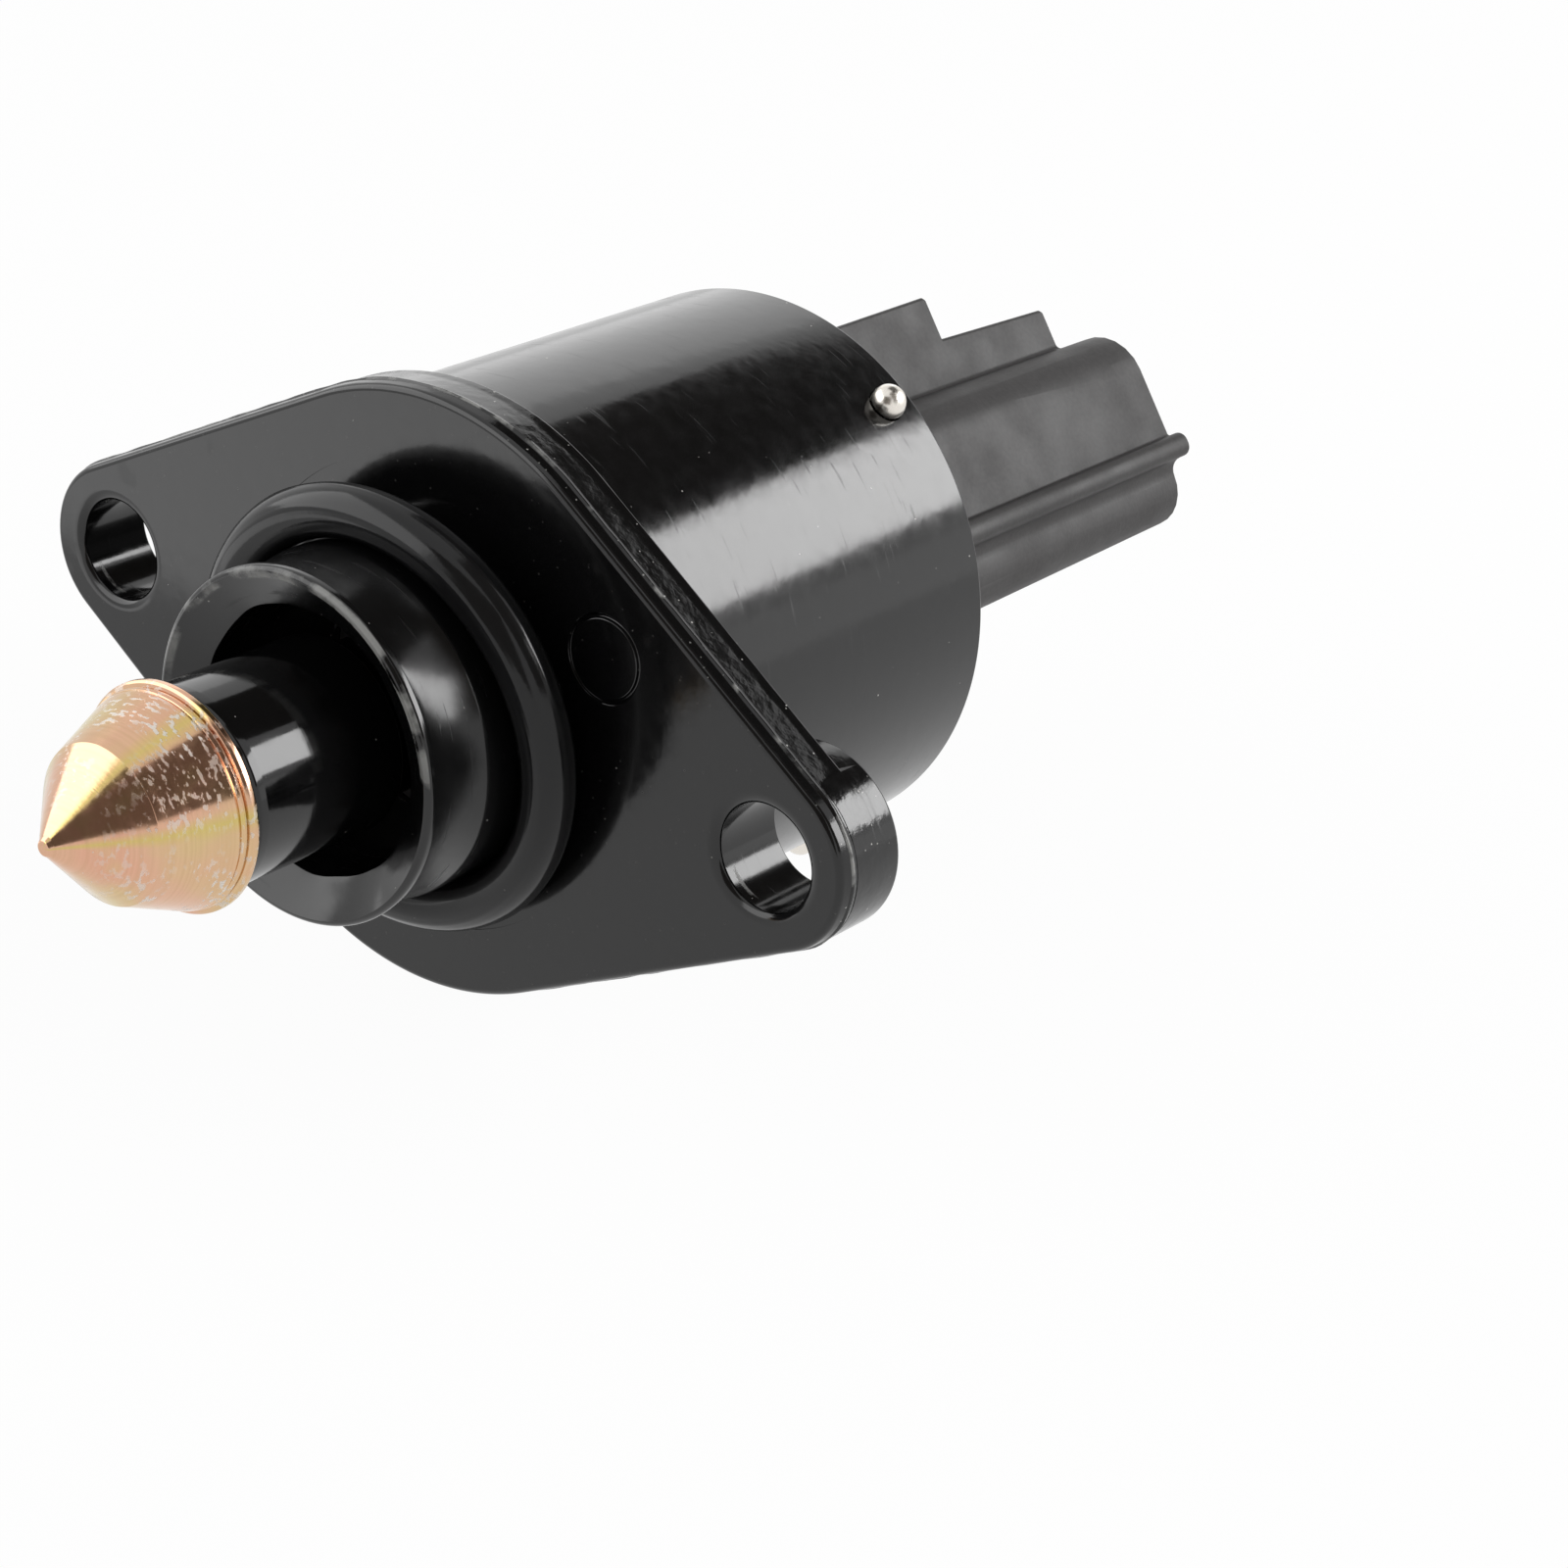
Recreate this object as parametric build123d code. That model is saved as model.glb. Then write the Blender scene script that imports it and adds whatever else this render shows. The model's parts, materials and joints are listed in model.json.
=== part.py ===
from build123d import *
import math
import os

# Idle air control valve: a stepper motor in a die-cast can turns a nut on a lead
# screw, which draws the conical pintle in and out of the air seat.
# All sizes are millimetres. The valve axis is Y: the pintle points to -Y and the
# connector opens to +Y. X runs through the two bolt holes and Z is up. The origin
# is on the valve axis in the plane of the flange's mounting face.

# Flange
BOLT_SPACING = 50.0
BOLT_HOLE_R = 3.1
BOLT_MOUTH = 0.75
BOLT_MOUTH_DEPTH = 0.4
BOLT_EDGE = 0.15
FLANGE_END_R = 5.4
FLANGE_MARGIN = 0.95
FLANGE_T = 3.5
FLANGE_FACE_EDGE = 0.35
PARTING_Y = 0.95
PARTING_PROUD = 0.12
PARTING_T = 0.3
FRONT_DRAFT = 8.0
REAR_DRAFT = 1.5
LUG_H = 1.6
MARK_X = 12.97
MARK_Z = 7.27
MARK_R = 2.45
MARK_W = 0.28
MARK_DEPTH = 0.15
SEAL_LAND_DEPTH = 0.05
SEAL_LAND_GAP = 0.3

# Can
CAN_WALL = 1.5
CAN_FLOOR_T = 0.5
CAN_EDGE = 0.2
CAN_ROOT_R = 0.5

# Spigot
SPIGOT_LEN = 10.3
SPIGOT_SEAT_R = 10.3
SPIGOT_SEAT_LEN = 5.2
SPIGOT_NECK_DROP = 0.5
SPIGOT_FLARE_LEN = 2.6
LIP_PROUD = 0.05
LIP_T = 1.0
LIP_ROUND = 0.4
LIP_SWEEP = 1.2
BORE_R = 7.8
BORE_CHAMFER_DEPTH = 1.3

# Seal ring on the spigot, sitting a little askew
SEAL_WIRE_R = 1.55
SEAL_FIT = 0.05
SEAL_SKEW = 6.3
SEAL_SKEW_DIR = 18.0
SEAL_FACE_GAP = 0.05

# Pintle
PINTLE_R = 6.5
PINTLE_LEN = 9.1
PINTLE_TIP_R = 0.5
PINTLE_CONE_R = 4.5
PINTLE_CONE_LEN = 4.0
PINTLE_RIM_T = 0.55
PINTLE_LAND_R = 6.2
PINTLE_GROOVE_W = 0.3
PINTLE_GROOVE_DEPTH = 0.15
PINTLE_SOCKET_R = 3.45
PINTLE_SOCKET_DEPTH = 3.0

# Stem
STEM_R = 5.8
STEM_NOSE_CHAMFER = 0.5
STEM_SHOULDER_Y = -7.2
GUIDE_R = 4.6
GUIDE_FLATS = 7.6
GUIDE_END_Y = 6.0
STROKE = 8.0
END_GAP = 0.6
SCREW_R = 2.5
SCREW_FRONT_Y = -12.0
SCREW_IN_NUT = 4.9
SCREW_TIP_CHAMFER = 0.5
PRESS_GAP = 0.05
RUN_GAP = 0.06

# Guide bush
BUSH_FLANGE_T = 0.8
BUSH_FLANGE_FIT = 0.1
BUSH_WALL = 1.4
BUSH_BOSS_LEN = 3.0

# Rotor
HUB_WALL = 1.1
HUB_THRUST_GAP = 0.1
HUB_SHOULDER_LEN = 1.2
HUB_CAVITY_GAP = 0.6
HUB_TAIL_R = 4.0
HUB_TAIL_GAP = 0.4
NUT_R = 4.15
NUT_LEN = 6.4
MAGNET_T = 1.79
MAGNET_INSET = 0.65
MAGNET_EDGE = 0.3

# Ball bearing
BEARING_SETBACK = 0.3
BEARING_T = 4.0
BEARING_R = 8.6
BALL_R = 1.19
BALL_COUNT = 7
BALL_GAP = 0.03
RACE_GAP_HALF = 0.8
CAGE_T = 0.5
CAGE_MARGIN = 0.5
BOW_T = 0.4
BOW_RISE = 0.5

# Stator
POLE_T = 0.8
AIR_GAP = 0.3
TOOTH_COUNT = 6
TOOTH_BASE_HALF = 11.0
TOOTH_TIP_HALF = 6.0
TOOTH_TIP_GAP = 0.7
COIL_SPACE = 6.05
STATOR_FIT = 0.3
STATOR_FLOOR_GAP = 0.2
STACK_LEN = 9.0
STACK_GAP = 0.1
SPOOL_GAP = 0.12
SPOOL_WALL = 0.75
SPOOL_FLANGE_T = 0.6
WINDING_INSET = 0.4

# Rear cap and connector
CAP_FRONT_GAP = 0.15
CAP_RECESS = 0.4
CAP_FIT = 0.06
CAP_COVER = 1.0
SCREW_POCKET_GAP = 0.9
CAP_SEAL_BACK = 4.8
CAP_SEAL_WIRE_R = 0.75
CAP_SEAL_GROOVE_W = 1.8
ROLL = 38.0
PLUG_HALF_W = 10.6
PLUG_STEP_W = 0.8
PLUG_TOP = 5.2
PLUG_BOTTOM = -8.05
PLUG_CORNER_R = 3.2
PLUG_LOW_CORNER_R = 2.5
PLUG_END_Y = 61.0
PLUG_WALL = 1.7
PLUG_DRAFT = 0.35
SOCKET_DEPTH = 19.0
MOUTH_EDGE = 0.35
RIB_T = 1.8
RIB_TALL_H = 6.25
RIB_TALL_END_Y = 47.2
RIB_LOW_H = 3.35
RIB_LOW_FALL = 0.4
RIB_SHY = 2.9
RIB_FOOT_R = 0.4
RIB_CREST_R = 0.25
KEY_TOP = -2.9
KEY_W = 1.6
KEY_H = 1.3
KEY_EDGE_R = 0.7
KEY_ROOT_R = 0.3
KEY_FOOT_R = 1.0
LATCH_W = 4.2
LATCH_H = 1.7
LATCH_START_Y = 50.5
LATCH_LEN = 4.5
LATCH_RAKE = 0.2
LATCH_CREST = 0.6

# Terminals
PIN_PITCH = 4.0
PIN_COUNT = 4
PIN_W = 1.5
PIN_T = 0.8
PIN_SHY = 6.5
PIN_TIP_LEN = 1.6
PIN_TIP_SCALE = 0.45
PIN_COVER = 0.3
PIN_TAIL_WALL = 3.5
PIN_TAIL_INSET = 0.75

# Steel pins that hold the rear cap in the can
RETAIN_COUNT = 3
RETAIN_BACK = 2.45
RETAIN_FIRST_ANGLE = 55.5
RETAIN_SHANK_R = 0.8
RETAIN_DEPTH = 3.2
RETAIN_HEAD_R = 1.08
RETAIN_HEAD_SEAT = 0.35

# Sizes that follow from those above: radii from the stem out to the can
BUSH_BOSS_R = GUIDE_R + BUSH_WALL
HUB_CAVITY_R = GUIDE_R + HUB_CAVITY_GAP
HUB_R = BUSH_BOSS_R + RUN_GAP + HUB_WALL
MAGNET_R = HUB_R + PRESS_GAP + MAGNET_T
TOOTH_R = MAGNET_R + AIR_GAP
BUSH_FLANGE_R = TOOTH_R - BUSH_FLANGE_FIT
STATOR_R = TOOTH_R + COIL_SPACE
CAN_BORE_R = STATOR_R + STATOR_FIT
CAN_R = CAN_BORE_R + CAN_WALL

# Casting
FLANGE_WAIST_R = CAN_R + FLANGE_MARGIN
LUG_REAR_Y = FLANGE_T + LUG_H
CAN_FLOOR_Y = FLANGE_T + CAN_FLOOR_T
SPIGOT_NECK_R = SPIGOT_SEAT_R - SPIGOT_NECK_DROP
LIP_R = SPIGOT_SEAT_R + LIP_PROUD
SEAL_RING_R = (SPIGOT_SEAT_R + SEAL_FIT + SEAL_WIRE_R) / math.cos(math.radians(SEAL_SKEW))
SEAL_LAND_R = SEAL_RING_R + SEAL_WIRE_R + SEAL_LAND_GAP

# Plunger and its bush: the stroke leaves the same end gap at every stop
PINTLE_BACK_Y = -(SPIGOT_LEN + STROKE + END_GAP)
PINTLE_TIP_Y = PINTLE_BACK_Y - PINTLE_LEN
BUSH_FRONT_Y = STEM_SHOULDER_Y + STROKE + END_GAP
BUSH_FLANGE_Y = CAN_FLOOR_Y
BUSH_BOSS_Y = BUSH_FLANGE_Y + BUSH_FLANGE_T
BUSH_END_Y = BUSH_BOSS_Y + BUSH_BOSS_LEN
NUT_FRONT_Y = GUIDE_END_Y + STROKE + END_GAP
NUT_REAR_Y = NUT_FRONT_Y + NUT_LEN
SCREW_REAR_Y = NUT_FRONT_Y + SCREW_IN_NUT
SCREW_POCKET_R = SCREW_R + SCREW_POCKET_GAP
SCREW_POCKET_END_Y = SCREW_REAR_Y + STROKE + END_GAP

# Stator, rotor and bearing
STATOR_FRONT_Y = CAN_FLOOR_Y + STATOR_FLOOR_GAP
STATOR_MID_Y = STATOR_FRONT_Y + STACK_LEN
STATOR_REAR_Y = STATOR_MID_Y + STACK_GAP + STACK_LEN
BEARING_FRONT_Y = STATOR_REAR_Y + BEARING_SETBACK
BEARING_REAR_Y = BEARING_FRONT_Y + BEARING_T
BEARING_MID_Y = BEARING_FRONT_Y + BEARING_T / 2
BALL_PITCH_R = (HUB_TAIL_R + BEARING_R) / 2
RACE_INNER_R = BALL_PITCH_R - RACE_GAP_HALF
RACE_OUTER_R = BALL_PITCH_R + RACE_GAP_HALF
HUB_FRONT_Y = BUSH_BOSS_Y + HUB_THRUST_GAP
HUB_JOURNAL_END_Y = BUSH_END_Y + HUB_THRUST_GAP
HUB_REAR_Y = BEARING_FRONT_Y - HUB_SHOULDER_LEN
HUB_TAIL_END_Y = BEARING_REAR_Y
HUB_TAIL_BORE_R = SCREW_R + HUB_TAIL_GAP
MAGNET_FRONT_Y = HUB_FRONT_Y + MAGNET_INSET
MAGNET_REAR_Y = HUB_REAR_Y - MAGNET_INSET

# Rear cap, terminals and connector
BOW_FRONT_Y = BEARING_REAR_Y + RUN_GAP
CAP_SEAT_Y = BOW_FRONT_Y + BOW_T + BOW_RISE + RUN_GAP
CAP_FRONT_Y = STATOR_REAR_Y + CAP_FRONT_GAP
PIN_BEND_Y = max(SCREW_POCKET_END_Y, CAP_SEAT_Y) + PIN_COVER
PIN_TAIL_Y = CAP_FRONT_Y + PIN_TAIL_INSET
CAP_REAR_Y = PIN_BEND_Y + PIN_T + CAP_COVER
CAN_REAR_Y = CAP_REAR_Y + CAP_RECESS
RETAIN_Y = CAN_REAR_Y - RETAIN_BACK
CAP_SEAL_Y = CAP_REAR_Y - CAP_SEAL_BACK
CAP_SEAL_GROOVE_R = CAN_BORE_R - 2 * CAP_SEAL_WIRE_R
CAP_R = CAN_BORE_R - CAP_FIT
PLUG_MID = (PLUG_TOP + PLUG_BOTTOM) / 2
PIN_TAIL_DROP = PLUG_MID + CAP_SEAL_GROOVE_R - PIN_TAIL_WALL
SOCKET_FLOOR_Y = PLUG_END_Y - SOCKET_DEPTH
RIB_FLANK = PLUG_HALF_W - PLUG_CORNER_R - RIB_FOOT_R
RIB_END_Y = PLUG_END_Y - RIB_SHY
PIN_TIP_Y = PLUG_END_Y - PIN_SHY


# A plane across the valve axis at one station, local x along X and local y along Z
def station(y):
    return Plane(origin=(0, y, 0), x_dir=(1, 0, 0), z_dir=(0, -1, 0))


# Direction of the connector's side, square to the valve axis
def side_dir():
    lean = math.radians(ROLL)
    return Vector(math.cos(lean), 0, math.sin(lean))


# The same plane turned with the connector: local x is its side, local y its top
def rolled(y):
    return Plane(origin=(0, y, 0), x_dir=side_dir(), z_dir=(0, -1, 0))


# A plane square to the connector's side, local x along the axis and local y its top
def flank_plane(side):
    return Plane(origin=side_dir() * side, x_dir=(0, 1, 0), z_dir=side_dir())


# A solid of revolution about the valve axis from (radius, y) corners
def turned(*corners):
    return revolve(make_face(Polyline(*corners, close=True)), Axis.Y)


# A ring of rectangular section between two radii and two stations
def ring(inner, outer, front, rear):
    return turned((inner, front), (outer, front), (outer, rear), (inner, rear))


# Turns a shape about the valve axis
def spun(shape, angle):
    return shape.rotate(Axis.Y, -angle)


# Extrudes a sketch drawn on a station towards +Y
def run_back(sketch, length):
    return extrude(sketch, amount=-length)


# Diamond outline: three circles wrapped by a tangent hull, all drawn in by the inset
def flange_outline(inset=0.0):
    ends = [Pos(side * BOLT_SPACING / 2, 0) * Circle(FLANGE_END_R - inset) for side in (-1, 1)]
    waist = Circle(FLANGE_WAIST_R - inset)
    return make_hull([waist.edge(), ends[0].edge(), ends[1].edge()])


# Plate with its two drafts meeting at the raised parting bead
def flange():
    middle = station(PARTING_Y) * flange_outline()
    front_inset = PARTING_Y * math.tan(math.radians(FRONT_DRAFT))
    rear_inset = (FLANGE_T - PARTING_Y) * math.tan(math.radians(REAR_DRAFT))
    front = loft([station(0) * flange_outline(front_inset), middle], ruled=True)
    face = front.faces().sort_by(Axis.Y)[0]
    front = fillet(face.outer_wire().edges(), FLANGE_FACE_EDGE)
    rear = loft([middle, station(FLANGE_T) * flange_outline(rear_inset)], ruled=True)
    bead = station(PARTING_Y - PARTING_T / 2) * flange_outline(-PARTING_PROUD)
    return front + rear + run_back(bead, PARTING_T)


def lugs():
    lug = None
    for side in (-1, 1):
        at = Pos(side * BOLT_SPACING / 2, 0)
        boss = run_back(station(PARTING_Y) * at * Circle(FLANGE_END_R), LUG_REAR_Y - PARTING_Y)
        lug = boss if lug is None else lug + boss
    return lug


def bolt_holes():
    half = BOLT_SPACING / 2
    corners = (
        (0, -BOLT_MOUTH_DEPTH),
        (BOLT_HOLE_R + 2 * BOLT_MOUTH, -BOLT_MOUTH_DEPTH),
        (BOLT_HOLE_R, BOLT_MOUTH_DEPTH),
        (BOLT_HOLE_R, LUG_REAR_Y - BOLT_EDGE),
        (BOLT_HOLE_R + 2 * BOLT_EDGE, LUG_REAR_Y + BOLT_EDGE),
        (0, LUG_REAR_Y + BOLT_EDGE),
    )
    hole = turned(*corners)
    return [Pos(side * half, 0, 0) * hole for side in (-1, 1)]


# Spigot: rounded lip, swept neck, flare and the seat of the seal ring
def spigot():
    lip_back = -SPIGOT_LEN + LIP_T
    flare_front = -SPIGOT_SEAT_LEN - SPIGOT_FLARE_LEN
    lip_face_r = LIP_R - LIP_ROUND
    neck_y = lip_back + LIP_SWEEP
    drop = LIP_R - SPIGOT_NECK_R
    sweep_r = (LIP_SWEEP * LIP_SWEEP + drop * drop) / (2 * drop)
    outer = [
        Line((0, CAN_FLOOR_Y), (SPIGOT_SEAT_R, CAN_FLOOR_Y)),
        Line((SPIGOT_SEAT_R, CAN_FLOOR_Y), (SPIGOT_SEAT_R, -SPIGOT_SEAT_LEN)),
        TangentArc(
            (SPIGOT_NECK_R, flare_front), (SPIGOT_SEAT_R, -SPIGOT_SEAT_LEN), tangent=(0, 1),
            tangent_from_first=True,
        ),
        Line((SPIGOT_NECK_R, flare_front), (SPIGOT_NECK_R, neck_y)),
        RadiusArc((SPIGOT_NECK_R, neck_y), (LIP_R, lip_back), sweep_r),
        Line((LIP_R, lip_back), (LIP_R, -SPIGOT_LEN + LIP_ROUND)),
        RadiusArc((LIP_R, -SPIGOT_LEN + LIP_ROUND), (lip_face_r, -SPIGOT_LEN), LIP_ROUND),
        Line((lip_face_r, -SPIGOT_LEN), (0, -SPIGOT_LEN)),
        Line((0, -SPIGOT_LEN), (0, CAN_FLOOR_Y)),
    ]
    return revolve(make_face(outer), Axis.Y)


def spigot_bore():
    mouth_r = LIP_R - LIP_ROUND
    chamfer_y = -SPIGOT_LEN + BORE_CHAMFER_DEPTH
    return turned(
        (0, -SPIGOT_LEN),
        (mouth_r, -SPIGOT_LEN),
        (BORE_R, chamfer_y),
        (BORE_R, CAN_FLOOR_Y),
        (0, CAN_FLOOR_Y),
    )


# Copies of a shape drawn on +X, one for each retaining pin
def at_each_pin(shape):
    step = 360 / RETAIN_COUNT
    return [spun(shape, RETAIN_FIRST_ANGLE + step * n) for n in range(RETAIN_COUNT)]


def retaining_pin_holes(inner_r):
    hole = Plane(origin=(inner_r, RETAIN_Y, 0), z_dir=(1, 0, 0)) * Circle(RETAIN_SHANK_R + PRESS_GAP)
    return at_each_pin(extrude(hole, amount=CAN_R - inner_r + RETAIN_HEAD_R))


# Outside of the can, with a cove where it leaves the flange
def can():
    root_r = CAN_R + CAN_ROOT_R
    outline = [
        Polyline((0, CAN_REAR_Y), (0, PARTING_Y), (root_r, PARTING_Y), (root_r, FLANGE_T)),
        RadiusArc((root_r, FLANGE_T), (CAN_R, FLANGE_T + CAN_ROOT_R), CAN_ROOT_R),
        Polyline((CAN_R, FLANGE_T + CAN_ROOT_R), (CAN_R, CAN_REAR_Y - CAN_EDGE),
                 (CAN_R - CAN_EDGE, CAN_REAR_Y), (0, CAN_REAR_Y)),
    ]
    return revolve(make_face(outline), Axis.Y)


# Shallow ring sunk in the flange face
def face_mark():
    mark = Circle(MARK_R + MARK_W / 2) - Circle(MARK_R - MARK_W / 2)
    return extrude(station(MARK_DEPTH) * Pos(MARK_X, MARK_Z) * mark, amount=2 * MARK_DEPTH)


# Land turned into the flange face for the seal ring
def seal_land():
    return ring(SPIGOT_SEAT_R, SEAL_LAND_R, -SEAL_LAND_DEPTH, SEAL_LAND_DEPTH)


# One casting: flange, lugs, spigot and can
def housing():
    body = flange() - seal_land() - face_mark() + lugs() + can() + spigot()
    cavity = ring(0, CAN_BORE_R, CAN_FLOOR_Y, CAN_REAR_Y)
    body = body - cavity - spigot_bore() - bolt_holes()
    body = body - retaining_pin_holes(CAN_BORE_R - CAN_WALL)
    head = Pos(CAN_R + RETAIN_HEAD_SEAT, RETAIN_Y, 0) * Sphere(RETAIN_HEAD_R + PRESS_GAP)
    return body - at_each_pin(head)


def seal_ring():
    reach = SEAL_WIRE_R + SEAL_RING_R * math.sin(math.radians(SEAL_SKEW))
    middle_y = SEAL_LAND_DEPTH - reach - SEAL_FACE_GAP
    hoop = Rot(90, 0, 0) * Torus(SEAL_RING_R, SEAL_WIRE_R)
    hoop = spun(hoop.rotate(Axis.X, SEAL_SKEW), SEAL_SKEW_DIR)
    return Pos(0, middle_y, 0) * hoop


def pintle():
    cone_y = PINTLE_TIP_Y + PINTLE_CONE_LEN
    rim_y = PINTLE_BACK_Y - PINTLE_RIM_T
    groove_y = rim_y - PINTLE_GROOVE_W
    socket_y = PINTLE_BACK_Y - PINTLE_SOCKET_DEPTH
    return turned(
        (0, PINTLE_TIP_Y),
        (PINTLE_TIP_R, PINTLE_TIP_Y),
        (PINTLE_CONE_R, cone_y),
        (PINTLE_LAND_R, groove_y),
        (PINTLE_LAND_R - PINTLE_GROOVE_DEPTH, groove_y + PINTLE_GROOVE_W / 2),
        (PINTLE_LAND_R, rim_y),
        (PINTLE_R, rim_y + PINTLE_GROOVE_DEPTH),
        (PINTLE_R, PINTLE_BACK_Y),
        (PINTLE_SOCKET_R, PINTLE_BACK_Y),
        (PINTLE_SOCKET_R, socket_y),
        (0, socket_y),
    )


# Section of the guide length: a round shaft with two flats that stop it turning
def guide_section(gap):
    flats = Rectangle(GUIDE_FLATS + 2 * gap, 2 * GUIDE_R + GUIDE_FLATS)
    return Circle(GUIDE_R + gap) & flats


def stem():
    nose_y = PINTLE_BACK_Y - PINTLE_SOCKET_DEPTH + PRESS_GAP
    front = turned(
        (0, nose_y),
        (PINTLE_SOCKET_R - PRESS_GAP, nose_y),
        (PINTLE_SOCKET_R - PRESS_GAP, PINTLE_BACK_Y + PRESS_GAP),
        (STEM_R - STEM_NOSE_CHAMFER, PINTLE_BACK_Y + PRESS_GAP),
        (STEM_R, PINTLE_BACK_Y + PRESS_GAP + 2 * STEM_NOSE_CHAMFER),
        (STEM_R, STEM_SHOULDER_Y - STEM_NOSE_CHAMFER),
        (STEM_R - STEM_NOSE_CHAMFER, STEM_SHOULDER_Y),
        (0, STEM_SHOULDER_Y),
    )
    shaft = run_back(station(STEM_SHOULDER_Y) * guide_section(0), GUIDE_END_Y - STEM_SHOULDER_Y)
    core = ring(0, SCREW_R + PRESS_GAP, SCREW_FRONT_Y - PRESS_GAP, GUIDE_END_Y)
    return front + shaft - core


def lead_screw():
    return turned(
        (0, SCREW_FRONT_Y),
        (SCREW_R, SCREW_FRONT_Y),
        (SCREW_R, SCREW_REAR_Y - SCREW_TIP_CHAMFER),
        (SCREW_R - SCREW_TIP_CHAMFER, SCREW_REAR_Y),
        (0, SCREW_REAR_Y),
    )


def guide_bush():
    body = turned(
        (0, BUSH_FRONT_Y),
        (BORE_R - PRESS_GAP, BUSH_FRONT_Y),
        (BORE_R - PRESS_GAP, BUSH_FLANGE_Y + PRESS_GAP),
        (BUSH_FLANGE_R, BUSH_FLANGE_Y + PRESS_GAP),
        (BUSH_FLANGE_R, BUSH_BOSS_Y),
        (BUSH_BOSS_R, BUSH_BOSS_Y),
        (BUSH_BOSS_R, BUSH_END_Y),
        (0, BUSH_END_Y),
    )
    keyway = run_back(station(BUSH_FRONT_Y) * guide_section(RUN_GAP), BUSH_END_Y - BUSH_FRONT_Y)
    return body - keyway


def rotor_hub():
    return turned(
        (BUSH_BOSS_R + RUN_GAP, HUB_FRONT_Y),
        (HUB_R, HUB_FRONT_Y),
        (HUB_R, HUB_REAR_Y),
        (RACE_INNER_R, HUB_REAR_Y),
        (RACE_INNER_R, BEARING_FRONT_Y),
        (HUB_TAIL_R, BEARING_FRONT_Y),
        (HUB_TAIL_R, HUB_TAIL_END_Y),
        (HUB_TAIL_BORE_R, HUB_TAIL_END_Y),
        (HUB_TAIL_BORE_R, NUT_REAR_Y + PRESS_GAP),
        (NUT_R + PRESS_GAP, NUT_REAR_Y + PRESS_GAP),
        (NUT_R + PRESS_GAP, NUT_FRONT_Y),
        (HUB_CAVITY_R, NUT_FRONT_Y),
        (HUB_CAVITY_R, HUB_JOURNAL_END_Y),
        (BUSH_BOSS_R + RUN_GAP, HUB_JOURNAL_END_Y),
    )


def rotor_magnet():
    inner = HUB_R + PRESS_GAP
    return turned(
        (inner, MAGNET_FRONT_Y),
        (MAGNET_R - MAGNET_EDGE, MAGNET_FRONT_Y),
        (MAGNET_R, MAGNET_FRONT_Y + MAGNET_EDGE),
        (MAGNET_R, MAGNET_REAR_Y - MAGNET_EDGE),
        (MAGNET_R - MAGNET_EDGE, MAGNET_REAR_Y),
        (inner, MAGNET_REAR_Y),
    )


def ball_track():
    return Rot(90, 0, 0) * Torus(BALL_PITCH_R, BALL_R + BALL_GAP)


def inner_race():
    race = ring(HUB_TAIL_R + PRESS_GAP, RACE_INNER_R, BEARING_FRONT_Y, BEARING_REAR_Y)
    return race - Pos(0, BEARING_MID_Y, 0) * ball_track()


def outer_race():
    race = ring(RACE_OUTER_R, BEARING_R, BEARING_FRONT_Y, BEARING_REAR_Y)
    return race - Pos(0, BEARING_MID_Y, 0) * ball_track()


def ball_places():
    return [Rot(0, 360 / BALL_COUNT * n, 0) * Pos(BALL_PITCH_R, BEARING_MID_Y, 0)
            for n in range(BALL_COUNT)]


def bearing_balls():
    return Compound([place * Sphere(BALL_R) for place in ball_places()])


def bearing_cage():
    half = CAGE_T / 2
    cage = ring(BALL_PITCH_R - half, BALL_PITCH_R + half,
                BEARING_FRONT_Y + CAGE_MARGIN, BEARING_REAR_Y - CAGE_MARGIN)
    pocket = Rot(0, 90, 0) * Cylinder(BALL_R + BALL_GAP, 2 * BALL_R)
    return cage - [place * pocket for place in ball_places()]


# Bowed spring washer that loads the bearing against the hub
def bow_washer():
    outer = BEARING_R - PRESS_GAP
    low = BOW_FRONT_Y
    high = BOW_FRONT_Y + BOW_RISE
    band = make_face([
        ThreePointArc((-outer, high), (0, low), (outer, high)),
        Line((outer, high), (outer, high + BOW_T)),
        ThreePointArc((outer, high + BOW_T), (0, low + BOW_T), (-outer, high + BOW_T)),
        Line((-outer, high + BOW_T), (-outer, high)),
    ])
    bowed = extrude(band, amount=outer, both=True)
    return bowed & ring(RACE_OUTER_R, outer, low, high + BOW_T)


# Claw teeth bent out of a pole disc, tapered to their tips
def claw_teeth(base_y, tip_y, turn):
    outer = TOOTH_R + POLE_T
    base_w = outer * math.radians(TOOTH_BASE_HALF)
    tip_w = outer * math.radians(TOOTH_TIP_HALF)
    blank = ring(TOOTH_R, outer, min(base_y, tip_y), max(base_y, tip_y))
    side = Plane(origin=(0, 0, 0), x_dir=(0, 0, -1), z_dir=(1, 0, 0))
    flank = side * make_face(Polyline(
        (-base_w, base_y), (base_w, base_y), (tip_w, tip_y), (-tip_w, tip_y), close=True))
    wedge = extrude(flank, amount=outer + POLE_T)
    step = 360 / TOOTH_COUNT
    tooth = blank & wedge
    return [spun(tooth, turn + step * n) for n in range(TOOTH_COUNT)]


# Outer cup of one stack: disc, wall and teeth. near is the disc's outer face
def pole_cup(near, far, turn):
    toward = 1 if far > near else -1
    disc_y = near + toward * POLE_T
    tip_y = far - toward * (POLE_T + TOOTH_TIP_GAP)
    disc = ring(TOOTH_R, STATOR_R, *sorted((near, disc_y)))
    wall = ring(STATOR_R - POLE_T, STATOR_R, *sorted((near, far)))
    return disc + wall + claw_teeth(disc_y, tip_y, turn)


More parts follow.
